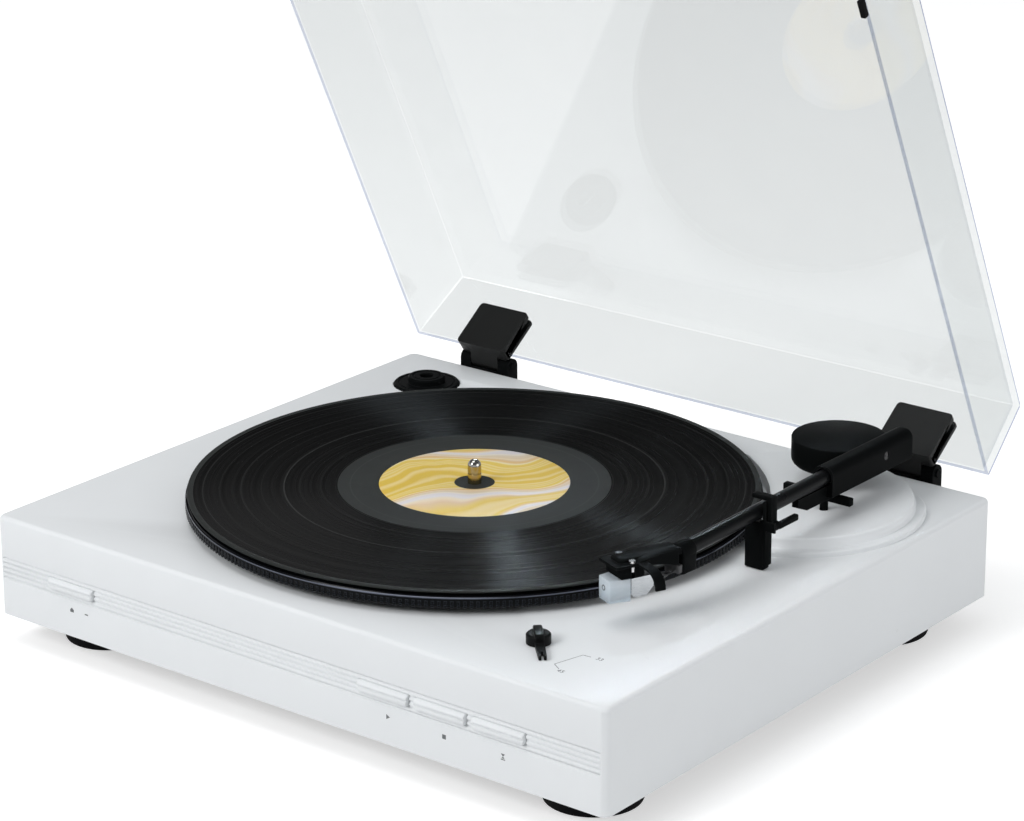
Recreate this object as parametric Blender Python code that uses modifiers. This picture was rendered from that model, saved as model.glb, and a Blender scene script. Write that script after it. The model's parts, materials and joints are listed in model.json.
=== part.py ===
"""Automatic turntable with a clear hinged cover, in metres, +Z up, front towards -Y."""

import math

import bmesh
import bpy
from mathutils import Matrix, Vector

# Clearances and cutter overruns
GAP = 0.0003
OVERRUN = 0.002
WELD = 0.000001

# Platter, record and spindle: the record sets the platter's size, and the platter sets the plinth's
PLATTER_RADIUS = 0.152
PLATTER_FROM_LEFT = 0.0365
PLATTER_FROM_FRONT = 0.014
PLATTER_FROM_REAR = 0.022
ARM_STRIP_WIDTH = 0.0595
SPINDLE_X = PLATTER_FROM_LEFT + PLATTER_RADIUS
SPINDLE_Y = PLATTER_FROM_FRONT + PLATTER_RADIUS
RECORD_TOP = 0.0127
RECORD_INSET = 0.001
RECORD_RADIUS = PLATTER_RADIUS - RECORD_INSET
RECORD_THICKNESS = 0.0013
RECORD_BEAD_WIDTH = 0.003
RECORD_BEAD_HEIGHT = 0.0003
LABEL_RADIUS = 0.0505
LABEL_THICKNESS = 0.0003
LABEL_EYE_RADIUS = 0.0107
DEADWAX_RADIUS = 0.072
MAT_INSET = 0.005
MAT_RADIUS = PLATTER_RADIUS - MAT_INSET
MAT_THICKNESS = 0.001
PLATTER_RIM_HEIGHT = 0.0063
PLATTER_RIM_WIDTH = 0.006
PLATTER_PLATE = 0.002
PLATTER_EDGE = 0.0012
DISH_INSET = 0.034
DISH_RADIUS = PLATTER_RADIUS - DISH_INSET
PULLEY_FROM_DISH = 0.018
PULLEY_DISTANCE = DISH_RADIUS - PULLEY_FROM_DISH
RIM_FROM_PULLEY = 0.027
DRIVE_RIM_RADIUS = PULLEY_DISTANCE - RIM_FROM_PULLEY
DRIVE_RIM_WIDTH = 0.003
DRIVE_RIM_DEPTH = 0.011
HUB_RADIUS = 0.010
SPINDLE_RADIUS = 0.0036
SPINDLE_ABOVE_RECORD = 0.0125
SPINDLE_BELOW_TOP = 0.028

# Plinth: width along X, depth along Y, height without the feet
PLINTH_WIDTH = PLATTER_FROM_LEFT + 2 * PLATTER_RADIUS + ARM_STRIP_WIDTH
PLINTH_DEPTH = PLATTER_FROM_FRONT + 2 * PLATTER_RADIUS + PLATTER_FROM_REAR
PLINTH_HEIGHT = 0.055
PLINTH_WALL = 0.0026
PLINTH_CORNER_RADIUS = 0.0045
PLINTH_TOP_RADIUS = 0.0022
BASE_THICKNESS = 0.003

# Feet
FOOT_RADIUS = 0.025
FOOT_HEIGHT = 0.016
FOOT_FROM_SIDE = 0.0395
FOOT_FROM_FRONT = 0.0425
FOOT_EDGE = 0.0015
FOOT_RECESS_RADIUS = 0.008
FOOT_RECESS_DEPTH = 0.009
FOOT_PEG_RADIUS = 0.005

# Front grooves and keys; an X, Y or Z place without another word is counted from the plinth's front-left corner
GROOVE_COUNT = 5
GROOVE_TOP = 0.0319
GROOVE_PITCH = 0.0027
GROOVE_WIDTH = 0.0009
GROOVE_DEPTH = 0.0008
GROOVE_FROM_END = 0.0035
KEY_WIDTH = 0.0314
KEY_HEIGHT = 0.0057
KEY_PROUD = 0.0022
KEY_LENGTH = 0.012
KEY_EDGE = 0.0008
KEY_CENTRE_HEIGHT = 0.0270
KEY_TRAVEL = 0.0015
POWER_KEY_X = 0.0543
ROW_KEY_FROM_RIGHT = 0.1339
ROW_KEY_X = PLINTH_WIDTH - ROW_KEY_FROM_RIGHT
ROW_KEY_PITCH = 0.0355
KEY_FLANGE = 0.0012
KEY_FLANGE_THICKNESS = 0.0015
SWITCH_DEPTH = 0.008
SWITCH_WIDTH = 0.0114

# Turret under the arm, near the plinth's rear right corner
TURRET_HEIGHT = 0.008
TURRET_RADIUS = 0.0641
TURRET_FILLET = 0.006
TURRET_FROM_RIGHT = 0.0056
TURRET_X = PLINTH_WIDTH - TURRET_FROM_RIGHT - TURRET_FILLET - TURRET_RADIUS
TURRET_FROM_REAR = 0.0067
TURRET_Y = PLINTH_DEPTH - TURRET_FROM_REAR - TURRET_FILLET - TURRET_RADIUS
TURRET_EDGE = 0.0011
TURRET_CLEARANCE = 0.004

# Dish under the platter, its bearing, motor, belt and gears
DISH_DEPTH = 0.015
BEARING_RADIUS = 0.0068
BEARING_WALL_BELOW = 0.016
BEARING_FLANGE_RADIUS = 0.010
BEARING_FLANGE_THICKNESS = 0.0014
BELT_WIDTH = 0.004
BELT_THICKNESS = 0.001
PULLEY_RADIUS = 0.006
PULLEY_FLANGE = 0.0016
PULLEY_FLANGE_THICKNESS = 0.001
PULLEY_ANGLE = math.radians(225)
PULLEY_STEM_RADIUS = 0.0025
MOTOR_RADIUS = 0.016
MOTOR_HEIGHT = 0.024
MOTOR_SHAFT_DEPTH = 0.006
MOTOR_EAR = 0.006
MOTOR_EAR_THICKNESS = 0.0015
GEAR_MODULE = 0.0015
PINION_TEETH = 12
CAM_TEETH = 40
CAM_GAP_TEETH = 4
GEAR_THICKNESS = 0.004
GEAR_LIFT = 0.002
GEAR_BACKLASH = 0.0003
GEAR_ROOT_SHARE = 1.25
TOOTH_FOOT_SHARE = 0.22
TOOTH_TIP_SHARE = 0.11
CAM_ANGLE = math.radians(42)
CAM_POST_RADIUS = 0.003
CAM_POST_HEAD_RADIUS = 0.0045
CAM_POST_HEAD = 0.001
CAM_HUB_RADIUS = 0.008
CAM_HUB_HEIGHT = 0.0022
CAM_TRACK_RADIUS = 0.020
CAM_TRACK_WIDTH = 0.003
CAM_TRACK_DEPTH = 0.002

# Spare adapter for large-hole records
ADAPTER_X = 0.044
ADAPTER_FROM_REAR = 0.04
ADAPTER_Y = PLINTH_DEPTH - ADAPTER_FROM_REAR
ADAPTER_RADIUS = 0.019
ADAPTER_FLANGE_HEIGHT = 0.004
ADAPTER_BOSS_RADIUS = 0.0108
ADAPTER_BOSS_HEIGHT = 0.0038
ADAPTER_EDGE = 0.0008
ADAPTER_RECESS_DEPTH = 0.003

# Speed selector
SELECTOR_FROM_RIGHT = 0.0715
SELECTOR_X = PLINTH_WIDTH - SELECTOR_FROM_RIGHT
SELECTOR_Y = 0.0413
SELECTOR_RADIUS = 0.00615
SELECTOR_HEIGHT = 0.0052
SELECTOR_BAR_WIDTH = 0.0046
SELECTOR_BAR_HEIGHT = 0.0016
SELECTOR_POINTER_LENGTH = 0.0215
SELECTOR_POINTER_WIDTH = 0.0050
SELECTOR_POINTER_TIP_WIDTH = 0.0040
SELECTOR_POINTER_HEIGHT = 0.0022
SELECTOR_SLOT_WIDTH = 0.0012
SELECTOR_SLOT_LENGTH = 0.0050
SELECTOR_ANGLE = math.radians(-46.7)
SELECTOR_SHAFT_RADIUS = 0.0022
SELECTOR_SHAFT_LENGTH = 0.010

# Arm drum, its shaft and the lift axis
PIVOT_FROM_RIGHT = 0.0675
PIVOT_X = PLINTH_WIDTH - PIVOT_FROM_RIGHT
PIVOT_FROM_REAR = 0.045
PIVOT_Y = PLINTH_DEPTH - PIVOT_FROM_REAR
DRUM_RADIUS = 0.0254
DRUM_BOTTOM = 0.0175
DRUM_THICKNESS = 0.0155
DRUM_TOP_EDGE = 0.0008
DRUM_BOTTOM_EDGE = 0.004
SHAFT_RADIUS = 0.009
SHAFT_BELOW_TOP = 0.030
CRANK_LENGTH = 0.040
CRANK_EYE_RADIUS = 0.013
CRANK_TIP_RADIUS = 0.005
CRANK_THICKNESS = 0.0025
CRANK_BELOW_TOP = 0.024
CRANK_ANGLE = math.radians(215)
LIFT_AXIS_FROM_REAR = 0.0465
LIFT_AXIS_Y = PLINTH_DEPTH - LIFT_AXIS_FROM_REAR
LIFT_AXIS_HEIGHT = 0.029
LIFT_PIN_RADIUS = 0.002
LIFT_PIN_INSIDE = 0.014
REST_RAISE = math.radians(0.3)

# Arm beam and tube, heights counted from the plinth's top
BEAM_FROM_RIGHT = 0.049
BEAM_LEFT = PLINTH_WIDTH - BEAM_FROM_RIGHT
BEAM_WIDTH = 0.012
BEAM_FRONT_FROM_REAR = 0.0975
BEAM_FRONT = PLINTH_DEPTH - BEAM_FRONT_FROM_REAR
BEAM_FROM_REAR = 0.021
BEAM_REAR = PLINTH_DEPTH - BEAM_FROM_REAR
BEAM_BOTTOM = 0.0202
BEAM_HEIGHT = 0.016
BEAM_ROUNDING = 0.0045
BEAM_EDGE = 0.0006
BEAM_MOUTH_RADIUS = 0.0050
BEAM_MOUTH_DEPTH = 0.010
TUBE_FROM_RIGHT = 0.043
TUBE_X = PLINTH_WIDTH - TUBE_FROM_RIGHT
TUBE_RADIUS = 0.004
TUBE_FROM_REAR = 0.078
TUBE_REAR_Y = PLINTH_DEPTH - TUBE_FROM_REAR
TUBE_BEFORE_SPINDLE = 0.048
TUBE_FRONT_Y = SPINDLE_Y - TUBE_BEFORE_SPINDLE
TUBE_SLOPE = 0.0119
TUBE_AT_COLLAR = 0.02886
TONGUE_WIDTH = 0.004
TONGUE_FRONT_FROM_REAR = 0.123
TONGUE_FRONT = PLINTH_DEPTH - TONGUE_FRONT_FROM_REAR
TONGUE_FROM_REAR = 0.074
TONGUE_REAR = PLINTH_DEPTH - TONGUE_FROM_REAR
TONGUE_BOTTOM = 0.018
TONGUE_NOSE = 0.0035
TONGUE_NOSE_LENGTH = 0.008
WEIGHT_LENGTH = 0.015
WEIGHT_FROM_REAR = 0.003
WEIGHT_WIDTH = 0.0076
WEIGHT_HEIGHT = 0.0085

# Cueing bar
CUE_BAR_FROM_REAR = 0.0855
CUE_BAR_Y = PLINTH_DEPTH - CUE_BAR_FROM_REAR
CUE_BAR_LEFT_FROM_RIGHT = 0.0745
CUE_BAR_LEFT = PLINTH_WIDTH - CUE_BAR_LEFT_FROM_RIGHT
CUE_BAR_FROM_RIGHT = 0.033
CUE_BAR_RIGHT = PLINTH_WIDTH - CUE_BAR_FROM_RIGHT
CUE_BAR_DEPTH = 0.004
CUE_BAR_HEIGHT = 0.0043
CUE_BAR_EDGE = 0.0006
CUE_ROD_FROM_RIGHT = 0.05
CUE_ROD_X = PLINTH_WIDTH - CUE_ROD_FROM_RIGHT
CUE_ROD_RADIUS = 0.0022
CUE_ROD_BELOW_TOP = 0.020

# Headshell, in its own frame: X across, Y back from the tip
HEADSHELL_FROM_RIGHT = 0.0585
HEADSHELL_X = PLINTH_WIDTH - HEADSHELL_FROM_RIGHT
HEADSHELL_BEFORE_SPINDLE = 0.0875
HEADSHELL_Y = SPINDLE_Y - HEADSHELL_BEFORE_SPINDLE
HEADSHELL_ANGLE = math.radians(-22.5)
FLANGE_WIDTH = 0.0164
FLANGE_LENGTH = 0.017
FLANGE_TOP = 0.0313
FLANGE_THICKNESS = 0.0015
FLANGE_LUG = 0.011
RIB_FRONT = 0.004
RIB_HALF_WIDTH = 0.0046
RIB_TOP = 0.0333
RIB_EDGE = 0.0012
RIB_SEAT = 0.0004
RIB_BEND = 0.0405
RIB_REAR = 0.0445
COLLAR_RADIUS = 0.0052
COLLAR_BEFORE_SPINDLE = 0.053
COLLAR_FRONT = SPINDLE_Y - COLLAR_BEFORE_SPINDLE
COLLAR_REAR_BEFORE_SPINDLE = 0.042
COLLAR_REAR = SPINDLE_Y - COLLAR_REAR_BEFORE_SPINDLE
PLUG_WIDTH = 0.0096
PLUG_HEIGHT = 0.0075
PLUG_EDGE = 0.0008
SHELL_SCREW_Y = 0.010
SHELL_SCREW_PITCH = 0.0127
SHELL_SCREW_RADIUS = 0.0012
SHELL_SCREW_HEAD_RADIUS = 0.0017
SHELL_SCREW_HEAD = 0.0011
LIFT_TAB_FRONT = 0.0120
LIFT_TAB_LENGTH = 0.0055
LIFT_TAB_THICKNESS = 0.0012
LIFT_TAB_REACH = 0.017
LIFT_TAB_FLAT = 0.0077
LIFT_TAB_DROP = 0.0085

# Cartridge, in the headshell's frame
MOUNT_WIDTH = 0.0150
MOUNT_FRONT = 0.0035
MOUNT_REAR = 0.0165
MOUNT_HEIGHT = 0.0056
CARTRIDGE_HALF_WIDTH = 0.0070
CARTRIDGE_FRONT = 0.0093
CARTRIDGE_REAR = 0.0220
CARTRIDGE_HEIGHT = 0.0100
CARTRIDGE_EDGE = 0.0010
CARTRIDGE_STEP = 0.0040
CARTRIDGE_CHIN = 0.0020
PLATE_THICKNESS = 0.0008
GUARD_FRONT = -0.0020
GUARD_FRONT_WIDTH = 0.0104
GUARD_REAR_WIDTH = 0.0140
GUARD_HEIGHT = 0.0116
GUARD_WALL = 0.0012
GUARD_EDGE = 0.0010
STYLUS_RADIUS = 0.00045
STYLUS_TIP_RADIUS = 0.0002
STYLUS_TIP_LENGTH = 0.0006
STYLUS_BASE_HEIGHT = 0.0030
STYLUS_TIP_Y = 0.0010
STYLUS_TIP_HEIGHT = 0.0008
WIRE_RADIUS = 0.0004
WIRE_PITCH = 0.0022
WIRE_SAG = 0.0022
WIRE_COUNT = 4
WIRE_SPANS = 6
TERMINAL_LENGTH = 0.0030
TERMINAL_RADIUS = 0.0006
TERMINALS_BELOW_TOP = 0.0035
BOOT_LENGTH = 0.0030

# Rest post and its clip
POST_FROM_RIGHT = 0.049
POST_LEFT = PLINTH_WIDTH - POST_FROM_RIGHT
POST_WIDTH = 0.0113
POST_BEFORE_TURRET = 0.0126
POST_FRONT = TURRET_Y - TURRET_RADIUS - TURRET_FILLET - POST_BEFORE_TURRET
POST_DEPTH = 0.0060
POST_EDGE = 0.0008
HORN_WIDTH = 0.0020
HORN_TOP = 0.0372
CLIP_WIDTH = 0.0024
CLIP_BLADE_FROM_RIGHT = 0.046
CLIP_BLADE_LEFT = PLINTH_WIDTH - CLIP_BLADE_FROM_RIGHT
CLIP_BLADE_HEIGHT = 0.0024
CLIP_BLADE_DEPTH = 0.0048
CLIP_PIVOT_HEIGHT = 0.0245
CLIP_BOSS_RADIUS = 0.0026
CLIP_BOSS_DEPTH = 0.0040
CLIP_PIN_RADIUS = 0.0011
CLIP_PIN_HEAD = 0.0012
CLIP_TAB_LENGTH = 0.0150
CLIP_TAB_HEIGHT = 0.0034
CLIP_TAB_WIDTH = 0.0030

# Clear cover, closed, heights counted from the plinth's top
LID_FROM_SIDE = 0.0025
LID_WIDTH = PLINTH_WIDTH - 2 * LID_FROM_SIDE
LID_FROM_REAR = 0.0032
LID_REAR = PLINTH_DEPTH - LID_FROM_REAR
LID_FRONT = 0.0025
LID_RIM = 0.0040
LID_HEIGHT = 0.0467
LID_WALL = 0.0030
LID_SIDE_SLANT = 0.0044
LID_REAR_SLANT = 0.0084
LID_EDGE = 0.0012
LID_OPEN = math.radians(64.5)
BUMPER_Y = 0.0290
BUMPER_LENGTH = 0.010
BUMPER_WIDTH = 0.0030
BUMPER_EDGE = 0.0005

# Hinges of the cover
HINGE_BEHIND_PLINTH = 0.005
HINGE_AXIS_Y = PLINTH_DEPTH + HINGE_BEHIND_PLINTH
HINGE_AXIS_HEIGHT = 0.0040
HINGE_FROM_SIDE = 0.0545
SOCKET_WIDTH = 0.0350
SOCKET_LENGTH = 0.0280
SOCKET_FRONT_THICKNESS = 0.0034
SOCKET_BACK_THICKNESS = 0.0022
SOCKET_LIP = 0.0018
KNUCKLE_WIDTH = 0.0200
KNUCKLE_RADIUS = 0.0045
CHEEK_WIDTH = 0.0075
CHEEK_BOTTOM = 0.0220
CHEEK_PLATE = 0.0020
CHEEK_CHAMFER = 0.0040
HINGE_PIN_RADIUS = 0.0016
HINGE_PIN_HEAD = 0.0011
HINGE_PIN_HEAD_RADIUS = 0.0024

# Electronics and connectors at the back
JACK_FROM_RIGHT = 0.11
JACK_X = PLINTH_WIDTH - JACK_FROM_RIGHT
JACK_HEIGHT = 0.022
JACK_PITCH = 0.014
JACK_RADIUS = 0.0042
JACK_LENGTH = 0.009
JACK_CORE_RADIUS = 0.0016
JACK_PLATE_WIDTH = 0.034
JACK_PLATE_HEIGHT = 0.016
JACK_PLATE_THICKNESS = 0.0016
POWER_JACK_FROM_RIGHT = 0.15
POWER_JACK_X = PLINTH_WIDTH - POWER_JACK_FROM_RIGHT
POWER_JACK_RADIUS = 0.0040
BOARD_WIDTH = 0.050
BOARD_DEPTH = 0.050
BOARD_THICKNESS = 0.0016
BOARD_HEIGHT = 0.012
BOARD_POST_RADIUS = 0.003
SCREW_RADIUS = 0.0016
SCREW_HEAD_RADIUS = 0.0030
SCREW_HEAD_HEIGHT = 0.0018
SCREW_LENGTH = 0.0065
SCREW_POST_RADIUS = 0.0045
SCREW_FROM_SIDE = 0.160
SCREW_FROM_FRONT = 0.0135
SCREW_FROM_REAR = 0.0085

# Facet counts of round shapes
FINE = 64
ROUND = 36
SMALL = 24
TINY = 12

PARALLEL_SHARE = 0.99
CORNER_NAMES = ("front_left", "front_right", "rear_left", "rear_right")

# Heights above the ground and shared places, worked out from the sizes above
TOP = FOOT_HEIGHT + PLINTH_HEIGHT
LEFT = -PLINTH_WIDTH / 2
BASE_TOP = FOOT_HEIGHT + BASE_THICKNESS
CEILING = TOP - PLINTH_WALL
SPINDLE = Vector((LEFT + SPINDLE_X, SPINDLE_Y))
PIVOT = Vector((LEFT + PIVOT_X, PIVOT_Y))
RECORD_Z = TOP + RECORD_TOP
RECORD_BOTTOM = RECORD_Z - RECORD_THICKNESS
MAT_BOTTOM = RECORD_BOTTOM - GAP - MAT_THICKNESS
PLATTER_TOP = MAT_BOTTOM - GAP
PLATTER_UNDER = PLATTER_TOP - PLATTER_PLATE
DISH_FLOOR = TOP - DISH_DEPTH
HUB_BOTTOM = DISH_FLOOR + GEAR_LIFT + GEAR_THICKNESS + GAP
BORE = SPINDLE_RADIUS + GAP
LIFT_AXIS_Z = TOP + LIFT_AXIS_HEIGHT
BEAM_CENTRE = LEFT + BEAM_LEFT + BEAM_WIDTH / 2
FLANGE_UNDER = TOP + FLANGE_TOP - FLANGE_THICKNESS
MOUNT_BOTTOM = FLANGE_UNDER - GAP - MOUNT_HEIGHT
HINGE_Z = TOP + HINGE_AXIS_HEIGHT

# The frame's origin lies under the middle of the whole object with its cover open, at ground level
OPEN_CORNER = Vector((LID_REAR - LID_REAR_SLANT - HINGE_AXIS_Y, LID_RIM + LID_HEIGHT - HINGE_AXIS_HEIGHT))
REAR_REACH = HINGE_AXIS_Y + OPEN_CORNER.x * math.cos(LID_OPEN) + OPEN_CORNER.y * math.sin(LID_OPEN)
ORIGIN_Y = (REAR_REACH - KEY_PROUD) / 2

PARTS = bpy.data.collections.new("automatic_turntable")
CUTTERS = bpy.data.collections.new("cutters")


def clear_scene():
    for obj in list(bpy.data.objects):
        bpy.data.objects.remove(obj)
    bpy.context.scene.collection.children.link(PARTS)
    bpy.context.scene.collection.children.link(CUTTERS)


def finish(name, color, roughness, metallic=0.0, alpha=1.0):
    """A material with one Principled shader."""
    look = bpy.data.materials.new(name)
    look.use_nodes = True
    shader = look.node_tree.nodes["Principled BSDF"]
    shader.inputs["Base Color"].default_value = (*color, 1.0)
    shader.inputs["Roughness"].default_value = roughness
    shader.inputs["Metallic"].default_value = metallic
    shader.inputs["Alpha"].default_value = alpha
    look.diffuse_color = (*color, alpha)
    return look


def empty(name, location, parent=None, rotation=(0, 0, 0)):
    frame = bpy.data.objects.new(name, None)
    PARTS.objects.link(frame)
    frame.location = location
    frame.rotation_euler = rotation
    frame.parent = parent
    return frame


def world_of(obj):
    """The world matrix of an object from its own and its parents' placing."""
    matrix = obj.matrix_basis
    return world_of(obj.parent) @ matrix if obj.parent else matrix


class Place:
    """Builds shapes in the plinth's frame and hands them to the body that carries them."""

    def __init__(self, parent):
        self.parent = parent
        self.to_local = (world_of(ORIGIN).inverted() @ world_of(parent)).inverted()


def mesh_object(name, mesh, place, collection=CUTTERS, local=False):
    """Links a mesh that was drawn in the plinth's frame, or in the parent's own frame."""
    if not local:
        mesh.transform(place.to_local)
    obj = bpy.data.objects.new(name, mesh)
    obj.parent = place.parent
    collection.objects.link(obj)
    if collection is CUTTERS:
        obj.hide_render = True
        obj.display_type = "WIRE"
    return obj


def bevel_edges(mesh_data, edges, width, segments):
    if width > 0 and edges:
        bmesh.ops.bevel(
            mesh_data, geom=edges, offset=width, segments=segments, profile=0.5, affect="EDGES"
        )


def along(edge, axis):
    direction = (edge.verts[1].co - edge.verts[0].co).normalized()
    return abs(direction[axis]) > PARALLEL_SHARE


def box(name, low, high, place, edge=0.0, segments=2, only_axis=None, **options):
    """A box from its low corner to its high one, its edges rounded by a bevel."""
    shape = bmesh.new()
    size = Vector(high) - Vector(low)
    middle = (Vector(high) + Vector(low)) / 2
    bmesh.ops.create_cube(shape, size=1.0, matrix=Matrix.LocRotScale(middle, None, size))
    edges = [e for e in shape.edges if only_axis is None or along(e, only_axis)]
    bevel_edges(shape, edges, edge, segments)
    return from_bmesh(name, shape, place, **options)


def from_bmesh(name, shape, place, **options):
    """A mesh object whose faces point out."""
    mesh = bpy.data.meshes.new(name)
    bmesh.ops.recalc_face_normals(shape, faces=shape.faces)
    if not any(e.is_boundary for e in shape.edges) and shape.calc_volume(signed=True) < 0:
        bmesh.ops.reverse_faces(shape, faces=shape.faces)
    shape.to_mesh(mesh)
    shape.free()
    return mesh_object(name, mesh, place, **options)


def cylinder(name, radius, start, end, place, segments=SMALL, edge=0.0, top_radius=None, **options):
    """A round bar from one point to another."""
    start, end = Vector(start), Vector(end)
    shape = bmesh.new()
    bmesh.ops.create_cone(
        shape,
        cap_ends=True,
        segments=segments,
        radius1=radius,
        radius2=radius if top_radius is None else top_radius,
        depth=(end - start).length,
    )
    caps = [e for e in shape.edges if abs(e.verts[0].co.z - e.verts[1].co.z) < GAP / 2]
    bevel_edges(shape, caps, edge, 2)
    turn = (end - start).to_track_quat("Z", "Y").to_matrix().to_4x4()
    bmesh.ops.transform(shape, matrix=Matrix.Translation((start + end) / 2) @ turn, verts=shape.verts)
    return from_bmesh(name, shape, place, **options)


def turned(name, profile, centre, place, segments=ROUND, local=False, **options):
    """A profile of (radius, height) points, outer side first from top to bottom, turned about Z."""
    mesh = bpy.data.meshes.new(name)
    points = [(radius, 0, height) for radius, height in profile]
    edges = [(i, (i + 1) % len(points)) for i in range(len(points))]
    mesh.from_pydata(points, [e for e in edges if profile[e[0]][0] or profile[e[1]][0]], [])
    obj = bpy.data.objects.new(name, mesh)
    bpy.context.scene.collection.objects.link(obj)
    screw = obj.modifiers.new("turn", "SCREW")
    screw.steps = segments
    screw.render_steps = segments
    screw.use_merge_vertices = True
    screw.merge_threshold = WELD
    graph = bpy.context.evaluated_depsgraph_get()
    made = bpy.data.meshes.new_from_object(obj.evaluated_get(graph))
    bpy.data.objects.remove(obj)
    bpy.data.meshes.remove(mesh)
    shape = bmesh.new()
    shape.from_mesh(made)
    bpy.data.meshes.remove(made)
    bmesh.ops.translate(shape, vec=centre, verts=shape.verts)
    return from_bmesh(name, shape, place, local=local, **options)


def outline_solid(name, loops, low, high, place, axis="Z", **options):
    """A flat outline with any holes, as a filled curve, thickened from low to high along an axis."""
    curve = bpy.data.curves.new(name, "CURVE")
    curve.dimensions = "2D"
    curve.fill_mode = "BOTH"
    curve.extrude = (high - low) / 2
    for loop in loops:
        spline = curve.splines.new("POLY")
        spline.points.add(len(loop) - 1)
        for point, (across, up) in zip(spline.points, loop):
            point.co = (across, up, 0, 1)
        spline.use_cyclic_u = True
    turn = {
        "Z": Matrix.Identity(4),
        "X": Matrix(((0, 0, 1, 0), (1, 0, 0, 0), (0, 1, 0, 0), (0, 0, 0, 1))),
        "Y": Matrix(((1, 0, 0, 0), (0, 0, -1, 0), (0, 1, 0, 0), (0, 0, 0, 1))),
    }[axis]
    middle = Matrix.Translation((0, 0, (low + high) / 2 if axis != "Y" else -(low + high) / 2))
    return curve_solid(name, curve, place, matrix=turn @ middle, **options)


def wire(name, route, radius, place, **options):
    """A thin round wire along a list of points."""
    curve = bpy.data.curves.new(name, "CURVE")
    curve.dimensions = "3D"
    curve.bevel_depth = radius
    curve.bevel_resolution = 1
    curve.use_fill_caps = True
    spline = curve.splines.new("POLY")
    spline.points.add(len(route) - 1)
    for point, where in zip(spline.points, route):
        point.co = (*where, 1)
    return curve_solid(name, curve, place, **options)


def curve_solid(name, curve, place, matrix=None, **options):
    """Makes a curve a closed mesh: its caps are loose until they are welded."""
    obj = bpy.data.objects.new(name, curve)
    bpy.context.scene.collection.objects.link(obj)
    graph = bpy.context.evaluated_depsgraph_get()
    mesh = bpy.data.meshes.new_from_object(obj.evaluated_get(graph))
    bpy.data.objects.remove(obj)
    bpy.data.curves.remove(curve)
    shape = bmesh.new()
    shape.from_mesh(mesh)
    bpy.data.meshes.remove(mesh)
    bmesh.ops.remove_doubles(shape, verts=shape.verts, dist=WELD)
    if matrix:
        bmesh.ops.transform(shape, matrix=matrix, verts=shape.verts)
    return from_bmesh(name, shape, place, **options)


def gather(name, pieces, place):
    """Joins separate bodies into one mesh, such as a set of screws."""
    whole = bmesh.new()
    for piece in pieces:
        whole.from_mesh(piece.data)
        bpy.data.objects.remove(piece)
    return from_bmesh(name, whole, place, local=True)


def apply_boolean(target, tool, operation):
    modifier = target.modifiers.new(operation.lower() + "_" + tool.name, "BOOLEAN")
    modifier.operation = operation
    modifier.solver = "EXACT"
    modifier.object = tool


def cut(target, *tools):
    for tool in tools:
        apply_boolean(target, tool, "DIFFERENCE")


def unite(target, *tools):
    for tool in tools:
        apply_boolean(target, tool, "UNION")


def part(obj, name, look, smooth=True):
    """Makes a built shape a part of the object, with its own material."""
    obj.name = name
    obj.data.name = name
    CUTTERS.objects.unlink(obj)
    PARTS.objects.link(obj)
    obj.hide_render = False
    obj.display_type = "TEXTURED"
    obj.data.materials.clear()
    obj.data.materials.append(look)
    if smooth:
        obj.data.shade_smooth()
        obj.data.set_sharp_from_angle(angle=math.radians(40))
    return obj


def arc(centre, radius, start, end, steps):
    """Points of an arc from one angle to another, in degrees."""
    angles = [math.radians(start + (end - start) * i / steps) for i in range(steps + 1)]
    return [(centre[0] + radius * math.cos(a), centre[1] + radius * math.sin(a)) for a in angles]


def ring(centre, radius, steps):
    return arc(centre, radius, 0, 360 - 360 / steps, steps - 1)


def rounded_rectangle(low, high, radius, steps=4):
    corners = (
        ((high[0] - radius, high[1] - radius), 0),
        ((low[0] + radius, high[1] - radius), 90),
        ((low[0] + radius, low[1] + radius), 180),
        ((high[0] - radius, low[1] + radius), 270),
    )
    return [point for centre, start in corners for point in arc(centre, radius, start, start + 90, steps)]


def lifted(point, height):
    return (point[0], point[1], height)


def plinth_at(x, y, z=0.0):
    """A point counted from the plinth's front-left corner and its top face."""
    return Vector((LEFT + x, y, TOP + z))


WHITE = (0.80, 0.81, 0.82)
BLACK = (0.012, 0.012, 0.013)
DARK = (0.03, 0.03, 0.032)
STEEL = (0.62, 0.62, 0.63)
BRASS = (0.78, 0.60, 0.28)

clear_scene()
ORIGIN = empty("turntable_origin", (0, -ORIGIN_Y, 0))
ORIGIN_PLACE = Place(ORIGIN)


def key_centres():
    row = [ROW_KEY_X + ROW_KEY_PITCH * i for i in range(3)]
    return [LEFT + x for x in (POWER_KEY_X, *row)]


def foot_centres():
    across = PLINTH_WIDTH / 2 - FOOT_FROM_SIDE
    return [
        (side * across, y)
        for y in (FOOT_FROM_FRONT, PLINTH_DEPTH - FOOT_FROM_FRONT)
        for side in (-1, 1)
    ]


def pulley_centre():
    return SPINDLE + PULLEY_DISTANCE * Vector((math.cos(PULLEY_ANGLE), math.sin(PULLEY_ANGLE)))


def cam_centre():
    distance = GEAR_MODULE * (PINION_TEETH + CAM_TEETH) / 2
    return SPINDLE + distance * Vector((math.cos(CAM_ANGLE), math.sin(CAM_ANGLE)))


def cover_screw_places():
    """The screws that hold the base stand at the corners of a rectangle inside the feet."""
    across = PLINTH_WIDTH / 2 - SCREW_FROM_SIDE
    return [
        (side * across, y)
        for y in (SCREW_FROM_FRONT, PLINTH_DEPTH - SCREW_FROM_REAR)
        for side in (-1, 1)
    ]


def board_corner():
    rear = PLINTH_DEPTH - PLINTH_WALL - 2 * JACK_LENGTH
    return Vector((LEFT + JACK_X - BOARD_WIDTH / 2, rear - BOARD_DEPTH))


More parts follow.
